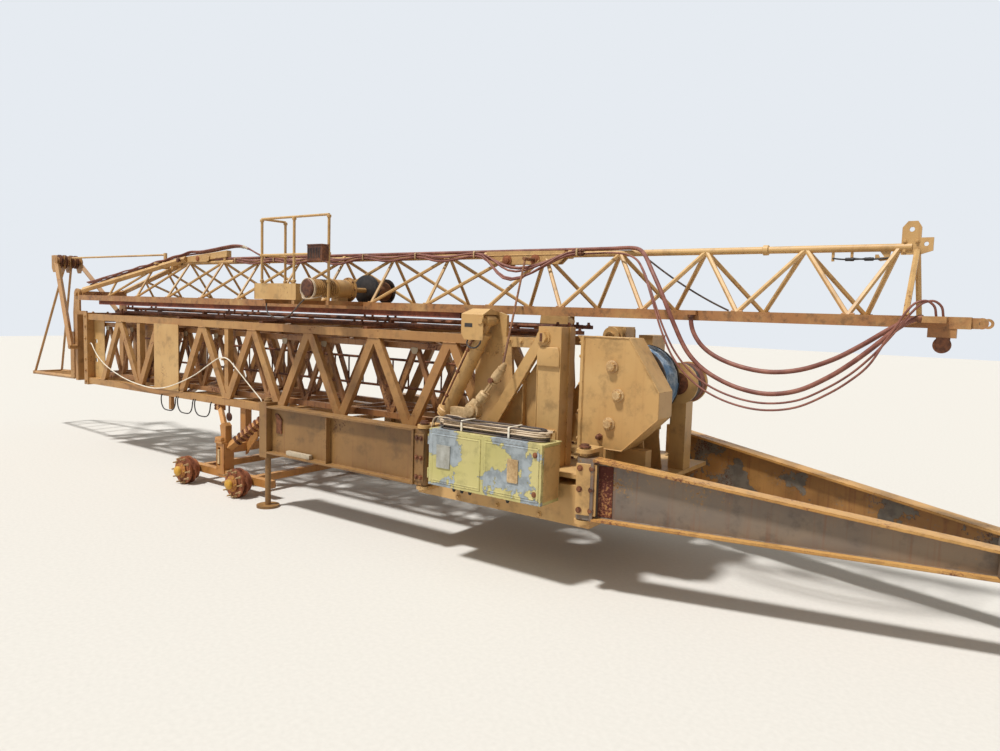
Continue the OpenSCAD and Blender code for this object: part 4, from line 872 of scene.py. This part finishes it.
def dress_base():
    spots = []
    for s in (-1, 1):
        for x in (-0.98, -0.5, 0.0, 0.5, 0.98):
            spots.append(((x, s * 0.951, 0.90), (0, s, 0)))
            spots.append(((x, s * 0.951, 0.60), (0, s, 0)))
    bolts("chassis_bolts", spots, 0.022, 0.016, "base", "base", 0.034)
    bolts("slew_ring_bolts", [((x, y, 1.040), (0, 0, 1)) for x, y in circle(36, 0.52)],
          0.016, 0.018, "rusty", "base", 0.026)
    flange = [((0.800, y, z), (-1, 0, 0)) for y in (-0.77, -0.48) for z in (1.36, 1.62, 1.88, 2.14, 2.27)]
    bolts("ballast_flange_bolts", flange, 0.015, 0.016, "base", "base", 0.024)
    corners = [(0.83, -0.776, 1.292), (1.26, -0.776, 1.292), (1.60, -0.776, 1.62), (1.60, -0.776, 1.86),
               (1.29, -0.776, 2.33), (0.83, -0.776, 2.33)]
    seams = [*zip(corners, corners[1:]), ((0.832, -0.777, 1.30), (0.832, -0.777, 2.32))]
    weld("ballast_seams", seams, "base", "base", 0.007)
    faces = []
    for x, z in ((1.131, 2.062), (1.202, 1.804), (1.121, 1.532)):
        face = (x, -0.775, z), (0, -1, 0)
        faces.append(turned([(-0.001, 0.060), (0.013, 0.0605), (0.0155, 0.056)], *face, 36))
        faces.append(turned([(0.0, 0.0445), (0.040, 0.0445), (0.0495, 0.038)], *face, 6))
    join("ballast_bolt_faces", faces, "bolt_face", "base")
    stud = [turned([(0, 0.020), (0.055, 0.020), (0.06, 0.014)], (1.03, -0.775, 1.40), (0, -1, 0), 20),
            turned([(0, 0.034), (0.012, 0.034), (0.02, 0.028)], (1.03, -0.775, 1.40), (0, -1, 0), 6)]
    join("ballast_stud", stud, "rusty", "base")
    for side, s in SIDES:
        y0, y1 = sorted((s * 0.80, s * 0.824))
        gusset = block((0.332, y0, 2.02), (0.588, y1, 2.15))
        gusset = extrude(gusset, facing("+z"), (0, 0, 0.06), 0.82)
        join(f"post_head_plate_{side}", [soften(gusset, 0.010, 3)], "base", "base")
        split = turned([(0, 0.020), (0.075, 0.020), (0.080, 0.014)], (0.39, s * 0.838, 2.262), (0, 0, 1), 16)
        join(f"hinge_pin_lock_{side}", [split], "rusty", "base")
        weld(f"post_welds_{side}", [((0.33, s * 0.802, 1.41), (0.33, s * 0.802, 2.10)),
                                    ((0.59, s * 0.802, 1.05), (0.59, s * 0.802, 2.38)),
                                    ((0.34, s * 0.813, 1.402), (0.56, s * 0.813, 1.402)),
                                    ((-0.14, s * 0.802, 1.395), (0.32, s * 0.802, 2.13))],
             "base", "base", 0.007)
        bolts(f"post_foot_bolts_{side}", [((x, s * 0.812, z), (0, s, 0)) for x in (0.36, 0.545)
                                          for z in (1.09, 1.15)], 0.016, 0.014, "rusty", "base", 0.026)
    sheet = extrude(block((-0.62, -0.905, 1.045), (-0.30, -0.895, 1.20)), facing("+z"), (0.0, 0.05, 0.02))
    join("platform_sheet", [soften(sheet, 0.003)], "zinc", "base")


def dress_drums():
    """The hoist drum's blue and white rope, and the reel's black and brown cables."""
    winding("hoist_rope", (1.16, 1.90), 0.3385, -0.408, -0.122, 0.0088, "blue_rope", "hoist_drum")
    winding("reel_cable_dark", (1.47, 1.89), 0.1785, -0.030, 0.080, 0.0105, "dark_cable", "base")
    winding("reel_cable_brown", (1.47, 1.89), 0.1785, 0.080, 0.200, 0.0105, "hose", "base")
    bolts("drum_flange_bolts", [((x, -0.430, z), (0, -1, 0)) for x, z in circle(8, 0.30, 1.16, 1.90)],
          0.014, 0.003, "rusty", "hoist_drum")
    bolts("reel_flange_bolts", [((x, -0.050, z), (0, -1, 0)) for x, z in circle(6, 0.09, 1.47, 1.89)],
          0.013, 0.012, "rusty", "base", 0.02)
    cap = turned([(0, 0.11), (0.01, 0.11), (0.014, 0.05), (0.05, 0.045), (0.055, 0.02)],
                 (1.47, -0.050, 1.89), (0, -1, 0))
    join("reel_hub_plate", [cap], "rusty", "base")
    fins = [turned([(0, 0.08), (0.004, 0.104), (0.014, 0.104), (0.018, 0.08)], (1.16, y, 1.90), (0, 1, 0), 28)
            for y in (-0.05, -0.01, 0.03, 0.07, 0.11, 0.15)]
    fins.append(turned([(0, 0.096), (0.05, 0.1), (0.07, 0.085)], (1.16, 0.25, 1.90), (0, 1, 0), 28))
    join("hoist_motor_fins", fins, "winch", "base")


def dress_outriggers():
    fold = math.radians(14.5)
    for side, s in SIDES:
        front = Matrix.Translation((1.06, s * 1.10, 0.70)) @ Matrix.Rotation(-s * fold, 4, "Z")
        rear = Matrix.Translation((-0.85, s * 1.10, 0.70)) @ Matrix.Rotation(math.pi, 4, "Z")
        dress_arm("front", side, s, front, 3.56, 0.56, 0.20, -0.06)
        dress_arm("rear", side, s, rear, 2.52, 0.59, 0.59, 0.0)


def dress_arm(end, side, s, turn, length, tall, tip, rise):
    """Welds, stiffeners, flanges, root plates with their bolts, the front arm's rust-red strip and the
    rear arm's bracket. Everything is drawn along the arm, from its pin along +X, and then turned into place.
    """
    body = f"outrigger_{end}_{side}"
    is_front = end == "front"
    # The rear arms take the "arm" finish, whose darker brown is painted shade
    finish = "arm" if not is_front else "front_arm" if s < 0 else "far_arm"

    def on(x, y, z):
        return tuple(turn @ Vector((x, y, z)))

    def put(piece):
        piece.data.transform(Matrix.Translation(AXIS) @ turn @ Matrix.Translation(-AXIS))
        return piece

    def low(x):
        return rise * max(0, (x - 0.09)) / (length - 0.09)

    def high(x):
        return tall + (rise + tip - tall) * max(0, (x - 0.09)) / (length - 0.09)

    lines = []
    for y in (-0.0085, 0.0085):
        for edge, inset in ((low, 0.024), (high, -0.024)):
            lines.append((on(0.11, y, edge(0.11) + inset), on(length - 0.02, y, edge(length) + inset)))
    weld(f"{end}_arm_welds_{side}", lines, finish, body, 0.007)
    x = length - 0.35 if is_front else 1.43
    ribs = [block((x, y, low(x) + 0.025), (x + 0.014, y + 0.070, high(x) - 0.025)) for y in (-0.079, 0.009)]
    join(f"{end}_arm_ribs_{side}", [put(soften(rib, 0.002, 1)) for rib in ribs], finish, body)
    covers = []
    for edge, z0, z1 in ((high, -0.0235, 0.0015), (low, -0.0015, 0.0235)):
        cover = block((0.095, -0.0865, z0), (length - 0.010, 0.0865, z1))
        open_faces(cover, lambda centre, normal: True)
        bpy.ops.mesh.subdivide(number_cuts=3)
        close_up()
        for vertex in cover.data.vertices:
            vertex.co.z += edge(vertex.co.x - AXIS.x)
        covers.append(put(soften(cover, 0.003)))
    join(f"{end}_flange_covers_{side}", covers, "flange" if is_front else "arm", body)
    for way, y in (("in", -0.0745), ("out", 0.0625)):
        plate = pressed((-0.055, y, 0.045), (0.135 if is_front else 0.075, y + 0.012, tall - 0.045),
                        "y", 0.02, 0.002, 0.012, 3)
        join(f"{end}_root_plate_{side}_{way}", [put(plate)], "base" if is_front else "arm", body)
    spots = [(on(x, face * 0.0735, z), tuple(turn.to_3x3() @ Vector((0, face, 0))))
             for face in (-1, 1) for x in (-0.02, 0.09 if is_front else 0.04)
             for z in (0.09, tall / 2, tall - 0.09)]
    bolts(f"{end}_root_bolts_{side}", spots, 0.017, 0.016, "rusty", body, 0.028)
    if is_front:
        y = 0.008 if s > 0 else -0.016
        strip = pressed((0.14, y, 0.035), (0.27, y + 0.008, tall - 0.065), "y", 0.012, 0.001, 0.002, 1)
        join(f"front_arm_strip_{side}", [put(strip)], "rust_red", body)
    else:
        y = -0.025 if s > 0 else 0.009
        lever = block((length - 0.22, y, 0.26), (length - 0.12, y + 0.016, 0.44))
        lever = soften(extrude(lever, facing("+z"), (0.05, 0, 0.06), 0.6), 0.006)
        join(f"rear_arm_bracket_{side}", [put(lever)], "rusty", body)
        if s < 0:
            timber = pressed((-3.00, -1.174, 0.7245), (-2.58, -1.118, 0.778), "x", 0.006, 0.001, 0.003)
            join("packing_timber", [timber], "pale_primer", body)
    cap = turned([(0, 0.05), (0.03, 0.05), (0.034, 0.034), (0.05, 0.032), (0.052, 0.02)],
                 on(length + 0.065, 0, rise + tip + 0.04), (0, 0, 1), 24)
    join(f"{end}_jack_cap_{side}", [cap], finish, body)
    head = turned([(0, 0.055), (0.012, 0.055), (0.016, 0.04), (0.03, 0.036), (0.033, 0.02)],
                  on(0, 0, 0.648), (0, 0, 1), 24)
    join(f"{end}_pin_head_{side}", [head], "rusty", "base")


def dress_mast():
    seams = [(s, -8.56 + 1.17 * k, 1.182) for s in (-1, 1) for k in range(8)]
    seams += [(s, -8.56 + 1.17 * (k + 0.5), 2.178) for s in (-1, 1) for k in range(7)]
    weld("mast_side_welds", [((x - 0.09, s * 0.6, z), (x + 0.09, s * 0.6, z)) for s, x, z in seams],
         "mast", "mast", 0.007)
    spots = [((-9.06, s * 0.62, z), (0, s, 0)) for s in (-1, 1) for z in (1.12, 1.30, 1.50, 1.86, 2.06, 2.24)]
    spots += [((-9.02, y, 2.30), (0, 0, 1)) for y in (-0.5, -0.25, 0.0, 0.25, 0.5)]
    bolts("mast_collar_bolts", spots, 0.017, 0.016, "mast", "mast", 0.028)
    low_row = [(-0.50, 1.14), (-0.40, 1.14), (-0.30, 1.14), (-0.50, 1.24), (-0.28, 1.24)]
    top_row = [(-0.50, 2.10), (-0.40, 2.10), (-0.30, 2.10), (-0.20, 2.10), (-0.12, 2.24), (0.02, 2.24),
               (0.16, 2.24)]
    bolts("mast_foot_bolts", [((x, s * 0.6383, z), (0, s, 0)) for s in (-1, 1) for x, z in low_row + top_row],
          0.018, 0.018, "base", "mast", 0.030)
    pins = []
    for y, z in ((-0.30, 2.3313), (-0.12, 2.3913), (0.11, 2.3313), (0.30, 2.3913)):
        for x in (-8.5, -5.6, -2.7, 0.2):
            for dx in (-0.07, 0.07):
                pins.append(((x + dx, y, z + 0.0195), (0, 0, 1)))
    bolts("tie_bar_pins", pins, 0.016, 0.026, "rusty", "mast", 0.026, 0.006)
    bow = [(0.20, -0.60, 1.10), (0.20, -0.615, 1.06), (0.18, -0.62, 0.95), (0.12, -0.62, 0.885)]
    for i, x in enumerate((-6.50, -6.05, -5.60)):
        points = [(x - half, y, z) for half, y, z in bow] + [(x, -0.62, 0.868)]
        points += [(x + half, y, z) for half, y, z in reversed(bow)]
        hose(f"rope_hoop_{i + 1}", points, 0.009, "black", "mast")
    eye = turned([(0, 0.055), (0.004, 0.062), (0.016, 0.062), (0.02, 0.055)], (-4.95, -0.625, 0.93),
                 (0, 1, 0), 24)
    link = bar((-4.95, -0.615, 1.09), (-4.95, -0.615, 0.98), 0.012, 12)
    join("chord_ring", [eye, link], "rusty", "mast")
    post = pressed((-6.52, -0.598, 0.88), (-6.46, -0.54, 1.079), "-y", 0.01, 0.004, 0.003)
    join("chord_drop_post", [post], "mast", "mast")
    sheaves = [turned([(0, 0.085), (0.006, 0.125), (0.014, 0.125), (0.024, 0.098), (0.034, 0.125),
                       (0.042, 0.125), (0.048, 0.085)], (-11.0, y, 3.23), (0, 1, 0))
               for y in (-0.17, -0.085, 0.035, 0.12)]
    join("strut_sheaves", sheaves, "rusty", "mast")
    cheeks = []
    for y in (-0.245, -0.105, 0.0, 0.205):
        cheek = block((-11.11, y, 3.10), (-10.89, y + 0.014, 3.34))
        cheek = extrude(cheek, facing("-z"), (0, 0, -0.08), 0.6)
        cheeks.append(soften(cheek, 0.004, 1))
    join("strut_head_cheeks", cheeks, "mast", "mast")
    ladder = [bar((-8.9, 0.28, z), (-1.0, 0.28, z), 0.017, 10) for z in (1.50, 1.86)]
    ladder += [bar((-8.8 + 0.28 * k, 0.28, 1.50), (-8.8 + 0.28 * k, 0.28, 1.86), 0.011, 8) for k in range(28)]
    join("mast_ladder", ladder, "rusty", "mast")
    shoes = []
    for s in (-1, 1):
        for k in range(10):
            x = -9.0 + 0.78 * (k + 0.5)
            y0, y1 = sorted((s * 0.461, s * 0.466))
            shoe = block((x - 0.05, y0, 2.045), (x + 0.05, y1, 2.09))
            shoes.append(soften(extrude(shoe, facing("-z"), (0, 0, -0.03), 0.6), 0.002, 1))
    join("inner_brace_shoes", shoes, "pale_primer", "mast")


def dress_rams():
    """Glands, the pipe along each barrel with its clips, the foot pins, and the roofed heads' slots, drawn as
    thin black plates of painted shade.
    """
    for side, s in SIDES:
        head, foot = Vector((-0.30, s * 0.775, 2.44)), Vector((-0.93, s * 0.775, 1.27))
        along = (foot - head).normalized()
        out = Vector((0, s, 0))
        parts = [turned([(0, 0.089), (0.01, 0.100), (0.05, 0.100), (0.06, 0.089)], head + along * 1.085, along),
                 turned([(0, 0.089), (0.006, 0.096), (0.024, 0.096), (0.03, 0.089)], head + along * 0.30, along)]
        join(f"ram_gland_{side}", parts, "base", "ram_barrels")
        pipe = [head + along * down + out * away for down, away in (
            (0.24, 0.092), (0.24, 0.118), (0.30, 0.122), (0.60, 0.122), (0.95, 0.122), (1.02, 0.118),
            (1.02, 0.092))]
        hose(f"ram_pipe_{side}", pipe, 0.011, "rusty", "ram_barrels")
        clips = [turned([(0, 0.018), (0.004, 0.022), (0.02, 0.022), (0.024, 0.018)],
                        head + along * down + out * 0.122, along, 12) for down in (0.34, 0.60, 0.90)]
        join(f"ram_pipe_clips_{side}", clips, "rusty", "ram_barrels")
        ends = [turned([(0, 0.045), (0.010, 0.045), (0.014, 0.030)], (-0.93, s * 0.838, 1.27), (0, s, 0), 24),
                bar((-0.93, s * 0.700, 1.27), (-0.93, s * 0.840, 1.27), 0.0295)]
        join(f"ram_foot_pin_{side}", ends, "rusty", "base")
        # Painted shade: a thin black plate stands for the dark inside of the slot in the head's box
        y0, y1 = sorted((s * 0.9155, s * 0.9175))
        slot = block((-0.50, y0, 2.37), (-0.40, y1, 2.41))
        join(f"ram_box_slot_painted_shade_{side}", [soften(slot, 0.0008, 1)], "black", "mast")
        hose(f"ram_box_hoop_{side}", [(x, s * y, z) for x, y, z in (
            (-0.46, 0.905, 2.245), (-0.465, 0.915, 2.205), (-0.42, 0.925, 2.165), (-0.34, 0.925, 2.165),
            (-0.30, 0.915, 2.205), (-0.295, 0.905, 2.245))], 0.008, "black", "mast")


CLIPS = [-5.525, -4.625, -3.725, -2.825, -1.925, -1.025, 0.325]
# Each clipped hose: height over the first, distance behind it, share of its sag, the same at the yoke, radius
CLIPPED = [(0, 0, 1, 1, 0.017), (0.029, 0.0, 0.6, 1.45, 0.012), (0.002, 0.030, 1.35, 1.8, 0.013),
           (0.030, 0.028, 0.95, 2.1, 0.011)]


def clipped_line(lift, out, share, last_share):
    """A hose on the clips below the chord: it sags from clip to clip, most of all below the yoke."""
    line = []
    for k, (x0, x1) in enumerate(zip(CLIPS, CLIPS[1:])):
        last = k == len(CLIPS) - 2
        depth = 0.150 * last_share if last else 0.001 * (34 + 12 * ((k * 7) % 3)) * share
        for i in range(12 + last):
            f = i / 12
            sag = depth * math.sin(math.pi * f) ** 2
            line.append(at(x0 + f * (x1 - x0), -0.0703 - out - 0.75 * sag, 3.16 + lift - sag))
    return line


def make_clipped_hoses():
    for i, (*route, radius) in enumerate(CLIPPED):
        tube = curve_tube(f"clipped_hose_{i + 1}", clipped_line(*route), radius, "hose", "jib")
        if i == 0:
            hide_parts("clipped_hoses")
    ends = []
    for x, way in ((CLIPS[0], -1), (CLIPS[-1], 1)):
        for lift, out, _, _, radius in CLIPPED:
            ends.append(turned([(-0.02, radius + 0.0015), (0.03, radius + 0.0025), (0.032, radius + 0.006),
                                (0.05, radius + 0.006), (0.052, radius * 0.7), (0.075, radius * 0.7)],
                               (x, -0.0703 - out, 3.16 + lift), (way, 0, 0), 16))
    join("clipped_hose_ends", ends, "rusty", "jib")
    straps = [shell(soften(block((x - 0.011, -0.122, 3.136), (x + 0.011, 0.036, 3.211)), 0.018, 3),
                    facing("x"), STRAP_WALL) for x in CLIPS]
    join("hose_straps", straps, "bright_wire", "jib")
    strap = soften(block((-4.931, -0.047, 3.118), (-4.909, 0.047, 3.262)), 0.018, 3)
    join("wedge_hose_strap", [shell(strap, facing("x"), STRAP_WALL)], "bright_wire", "jib")


def wedge_place(x, side, over):
    """A place on top of the sloping wedge tube."""
    out = 0.4 * (x + 6.9) / 2.85 if x < -6.9 else 0.0
    return (x, side * out, 2.66 + 0.56 * (x + 9.75) / 2.85 + over)


def dress_jib():
    for i in range(3):
        points = []
        for k in range(14):
            x = -9.45 + 0.2 * k
            slack = 0.018 * math.sin(1.7 * k + i)
            place = wedge_place(x, 1, 0.066 + 0.012 * i)
            points.append((x, place[1] - 0.028 * (i - 1), place[2] + abs(slack)))
        points += [(x, -0.028 * (i - 1), z + 0.012 * i) for x, z in (
            (-6.55, 3.312), (-6.20, 3.340), (-5.92, 3.368), (-5.70, 3.384), (-5.50, 3.372), (-5.33, 3.330),
            (-5.18, 3.272), (-5.04, 3.226), (-4.92, 3.211), (-4.84, 3.210))]
        hose(f"wedge_hose_{i + 1}", points, 0.013, "hose", "jib", 4)
    ferrules = [turned([(-0.035, 0.0145), (0.02, 0.0155), (0.022, 0.019), (0.05, 0.019), (0.052, 0.010)],
                       (-4.84, -0.028 * (i - 1), 3.210 + 0.012 * i), (1, 0, 0), 16) for i in range(3)]
    ferrules += [turned([(-0.14, 0.0145), (-0.135, 0.0175), (-0.015, 0.0175), (-0.01, 0.0145)],
                        (-5.50 + 0.09 * i, -0.028 * (i - 1), (3.372, 3.351 + 0.012, 3.319 + 0.024)[i]),
                        ((0.2, 0, -0.030), (0.17, 0, -0.042), (0.15, 0, -0.050))[i], 16) for i in range(3)]
    join("wedge_hose_ferrules", ferrules, "pale_primer", "jib")
    sleeve = block((-6.95, -0.045, 3.155), (-5.84, 0.045, 3.255))
    open_faces(sleeve, facing("+x"))
    bpy.ops.transform.translate(value=(0, 0, 0.080))
    close_up()
    sleeve = soften(recess(sleeve, facing("y"), 0.018, 0.005), 0.008)
    foot = soften(block((-5.95, -0.030, 3.180), (-5.89, 0.030, 3.250)), 0.004, 1)
    join("wedge_sleeve", [sleeve, foot], "jib", "jib")
    plates = []
    for y in (-0.060, 0.046):
        plate = block((-6.80, y, 3.165), (-6.34, y + 0.014, 3.265))
        plate = extrude(plate, facing("+x"), (0.06, 0, 0.010), 0.7)
        plates.append(soften(extrude(plate, facing("-x"), (-0.06, 0, -0.006), 0.7), 0.004, 1))
    join("wedge_sleeve_plates", plates, "jib", "jib")
    pin = [bar((-6.575, -0.078, 3.220), (-6.575, 0.078, 3.220), 0.026)]
    pin += [turned([(0, 0.040), (0.012, 0.040), (0.015, 0.030)], (-6.575, s * 0.060, 3.220), (0, s, 0), 20)
            for s in (-1, 1)]
    join("wedge_sleeve_pin", pin, "hub", "jib")
    straps = []
    for side in (-1, 1):
        for x in (-7.15, -7.45):
            place = wedge_place(x, side, 0)
            y0, y1 = sorted((side * abs(place[1]) + 0.055, side * abs(place[1]) - 0.055))
            strap = block((x - 0.035, y0, place[2] - 0.055), (x + 0.035, y1, place[2] + 0.058))
            straps.append(soften(recess(strap, facing("y"), 0.012, 0.004), 0.010))
    join("wedge_strap_plates", straps, "jib", "jib")
    pin = [bar((-7.0, -0.13, 3.20), (-7.0, 0.13, 3.20), 0.026)]
    pin += [turned([(0, 0.040), (0.02, 0.040), (0.024, 0.030)], (-7.0, s * 0.13, 3.20), (0, s, 0), 6)
            for s in (-1, 1)]
    join("wedge_pin", pin, "rusty", "jib")
    for side, s in SIDES:
        y0, y1 = sorted((s * 0.365, s * 0.435))
        rail = pressed((-8.95, y0, 2.445), (-0.95, y1, 2.5095), "y", 0.014, 0.012, 0.004)
        join(f"trolley_rail_{side}", [rail], "rail", "jib")
    pins = [turned([(0, 0.060), (0.012, 0.060), (0.014, 0.040), (0.034, 0.037), (0.037, 0.020)],
                   (x, s * 0.0525, 3.105), (0, s, 0), 28) for x in (-0.60, -0.225) for s in (-1, 1)]
    pins.append(bar((-0.60, -0.056, 3.105), (-0.60, 0.056, 3.105), 0.0195))
    join("yoke_pins", pins, "hub", "jib")
    weld("yoke_welds", [((-0.88, s * 0.053, 3.162), (0.13, s * 0.053, 3.162)) for s in (-1, 1)],
         "jib", "jib", 0.006)
    knots = [(-8.675 + 0.9 * n, s * 0.40) for s in (-1, 1) for n in range(14)]
    weld("jib_chord_welds", [((x - 0.05, y, 2.602), (x + 0.05, y, 2.602)) for x, y in knots],
         "jib_chord", "jib", 0.010)
    collars = [turned([(0, 0.0335), (0.008, 0.046), (0.05, 0.046), (0.058, 0.0335)], (x, 0, 3.16),
                      (1, 0, 0), 24) for x in (-3.3, -0.95, 0.16, 2.2)]
    join("chord_collars", collars, "jib", "jib")
    for name, x in (("long", 2.80), ("short", 2.95)):
        hose(f"end_rod_{name}", [(x, -0.012, 3.078), (x + 0.06, -0.016, 3.070), (x + 0.14, -0.018, 3.066),
                                 (x + 0.24, -0.018, 3.070), (x + 0.30, -0.012, 3.078)], 0.007, "black", "jib")
    sleeves = [turned([(0, 0.009), (0.004, 0.015), (0.07, 0.015), (0.074, 0.009)], (x, -0.018, 3.067),
                      (1, 0, 0), 14) for x in (2.90, 3.05)]
    join("end_rod_sleeves", sleeves, "black", "jib")
    wheel = turned([(0, 0.05), (0.004, 0.062), (0.014, 0.062), (0.022, 0.046), (0.030, 0.062), (0.040, 0.062),
                    (0.044, 0.05)], (3.70, -0.43, 2.385), (0, 1, 0))
    cheek = [soften(block((3.66, y, 2.345), (3.75, y + 0.008, 2.443)), 0.003, 1) for y in (-0.442, -0.382)]
    join("end_pulley", [wheel, *cheek], "rusty", "jib")
    nuts = [turned([(0, 0.0215), (0.02, 0.024), (0.022, 0.030), (0.05, 0.030), (0.052, 0.022)],
                   (3.52, y, 2.5795), (1, 0, 0), 16) for y in (-0.535, -0.48)]
    nuts.append(turned([(0, 0.0215), (0.02, 0.024), (0.022, 0.030), (0.045, 0.030)],
                       (1.74, -0.47, 2.515), (0, 0, 1), 16))
    join("hose_couplings", nuts, "rusty", "jib")
    bolts("jib_end_bolts", [((x, s * 0.0145, z), (0, s, 0)) for s in (-1, 1) for z in (3.13, 3.21)
                            for x in (3.345, 3.435)], 0.013, 0.012, "jib", "jib", 0.02)


def dress_winch():
    """Gearmotor with cooling fins, its fan cover and disc, the drum's rope and the black guard over it."""
    x, z = -2.65, 2.745
    fins = [turned([(0, 0.088), (0.003, 0.108), (0.012, 0.108), (0.015, 0.088)],
                   (x, -1.10 + 0.032 * k, z), (0, 1, 0), 28) for k in range(10)]
    join("winch_motor_fins", fins, "winch", "jib")
    cover = turned([(0, 0.098), (0.045, 0.100), (0.055, 0.090), (0.060, 0.040)], (x, -1.115, z),
                   (0, -1, 0), 28)
    join("winch_fan_cover", [cover], "rusty", "jib")
    disc = turned([(0, 0.120), (0.004, 0.150), (0.018, 0.150), (0.022, 0.120)], (x, -0.53, z), (0, 1, 0), 36)
    join("winch_disc", [disc], "winch", "jib")
    bolts("winch_disc_bolts", [((a, -0.532, b), (0, -1, 0)) for a, b in circle(8, 0.13, x, z)],
          0.011, 0.014, "rusty", "jib")
    winding("trolley_rope", (x, z), 0.1085, -0.128, 0.128, 0.0065, "wire", "trolley_drum")
    guard = turned([(0, 0.185), (0.002, 0.190), (0.058, 0.190), (0.06, 0.185)], (x, -0.235, z), (0, 1, 0), 40)
    join("winch_guard", [shell(guard, lambda centre, normal: centre.z < z - 0.01, 0.004)], "black", "jib")


def dress_cage():
    """The resistor's slots, drawn as black strips of painted shade, its lid, collars on the posts, seams, and
    the cable that hangs below the box.
    """
    route = [(-3.660, -0.960, 2.607), (-3.660, -0.961, 2.580), (-3.655, -0.966, 2.545), (-3.640, -0.978, 2.505),
             (-3.605, -0.995, 2.460), (-3.550, -1.012, 2.420), (-3.480, -1.024, 2.393), (-3.400, -1.030, 2.377),
             (-3.310, -1.032, 2.373), (-3.220, -1.032, 2.382), (-3.140, -1.031, 2.408), (-3.070, -1.028, 2.452),
             (-3.005, -1.022, 2.508), (-2.945, -1.015, 2.562), (-2.885, -1.008, 2.609), (-2.830, -1.001, 2.650),
             (-2.785, -0.995, 2.685), (-2.742, -0.990, 2.722)]
    cord("cage_cable", smooth_line([at(*p) for p in route]), THIN_R, "dark_cable", "jib")
    # The pale cable is hung in two turns over the fan cover and goes up into the motor
    route = [(-3.060, -0.930, 2.690), (-3.045, -0.930, 2.690), (-3.020, -0.936, 2.687), (-2.980, -0.958, 2.676),
             (-2.930, -0.998, 2.658), (-2.870, -1.048, 2.638), (-2.800, -1.092, 2.622), (-2.730, -1.120, 2.616)]
    for k in range(49):
        a = math.radians(270 + 15 * k)
        route.append((-2.65 + 0.118 * math.cos(a), -1.128 - 0.017 * k / 24, 2.735 + 0.118 * math.sin(a)))
    route += [(-2.605, -1.156, 2.620), (-2.565, -1.140, 2.627), (-2.540, -1.105, 2.635), (-2.540, -1.065, 2.643),
              (-2.555, -1.035, 2.652), (-2.575, -1.015, 2.662)]
    cord("winch_cable", smooth_line([at(*p) for p in route], 3), 0.007, "pale_cable", "jib")
    # A dark cable slants from the top chord to the far bottom one
    route = []
    for k in range(19):
        f = k / 18
        route.append((0.98 + 0.80 * f, 0.040 + 0.362 * f, 3.160 - 0.548 * f - 0.16 * f * (1 - f)))
    cord("jib_cable_dark", smooth_line([at(*p) for p in route], 3), THIN_R, "dark_cable", "jib")
    # Painted shade: thin black strips stand for the dark inside of the resistor's slots
    slots = [soften(block((x, -1.091, 3.09), (x + 0.012, -1.0865, 3.21)), 0.001, 1)
             for x in (-2.725 + 0.028 * k for k in range(8))]
    join("resistor_slots_painted_shade", slots, "black", "jib")
    lid = block((-2.745, -1.095, 3.238), (-2.475, -0.982, 3.246))
    join("resistor_lid", [soften(extrude(lid, facing("+z"), (0, 0, 0.006), 0.94), 0.002, 1)], "rusty", "jib")
    posts = ((-3.74, -0.97), (-3.12, -0.97), (-2.50, -0.97), (-3.74, -0.61))
    collars = [turned([(0, 0.018), (0.006, 0.026), (0.03, 0.026), (0.036, 0.018)], (x, y, z - 0.018),
                      (0, 0, 1), 16) for x, y in posts for z in (2.83, 3.15, 3.58)]
    join("cage_collars", collars, "jib", "jib")
    weld("cage_box_seams", [((-3.86, -0.99, 2.605), (-3.06, -0.99, 2.605)),
                            ((-3.86, -0.99, 2.605), (-3.86, -0.99, 2.795)),
                            ((-3.06, -0.99, 2.605), (-3.06, -0.99, 2.795))], "jib", "jib", 0.006)


def dress_pendant():
    """The rope's sockets with their bands and pin, and the eye's cheeks and washers."""
    washers = [turned([(0, 0.030), (0.006, 0.060), (0.030, 0.060), (0.036, 0.030)],
                      (-0.29, -1.0 + s * 0.045, 1.535), (0, s, 0), 28) for s in (-1, 1)]
    join("pendant_eye_washers", washers, "bright_wire", "jib")
    low, socket = Vector((0.051, -1.0, 1.986)), Vector((-0.06, -1.0, 1.830))
    along = (socket - low).normalized()
    rings = [turned([(0, 0.034), (0.004, 0.043), (0.02, 0.043), (0.024, 0.034)], low + along * d, along, 24)
             for d in (0.0, 0.07, 0.165)]
    join("socket_bands", rings, "bright_wire", "jib")
    start, eye = Vector((-0.17, -1.0, 1.69)), Vector((-0.29, -1.0, 1.535))
    baskets = [turned([(0, 0.018), (0.03, 0.030), (0.13, 0.050), (0.20, 0.052), (0.215, 0.040)],
                      low - along * 0.06, along, 24),
               turned([(-0.05, 0.035), (-0.03, 0.056), (0.05, 0.060), (0.07, 0.045)], start, eye - start, 24)]
    for y in (-1.046, -0.964):
        cheek = block((-0.345, y, 1.485), (-0.235, y + 0.010, 1.585))
        baskets.append(soften(extrude(cheek, facing("+z"), (0.06, 0, 0.075), 0.8), 0.004))
    join("socket_baskets", baskets, "bright_wire", "jib")
    pin = [bar((-0.04, -1.062, 1.86), (-0.04, -0.938, 1.86), 0.020)]
    pin += [turned([(0, 0.030), (0.018, 0.030), (0.02, 0.024)], (-0.04, -1.0 + s * 0.060, 1.86), (0, s, 0), 6)
            for s in (-1, 1)]
    join("socket_pin", pin, "rusty", "jib")


make_camera()
make_light()
make_floor()
make_cords()
make_hank()
make_clipped_hoses()
finish_nodes()
dress_hubs()
dress_bogie()
dress_base()
dress_drums()
dress_cabinet()
dress_outriggers()
dress_mast()
dress_rams()
dress_jib()
dress_winch()
dress_cage()
dress_pendant()

scene.view_settings.view_transform = "Standard"
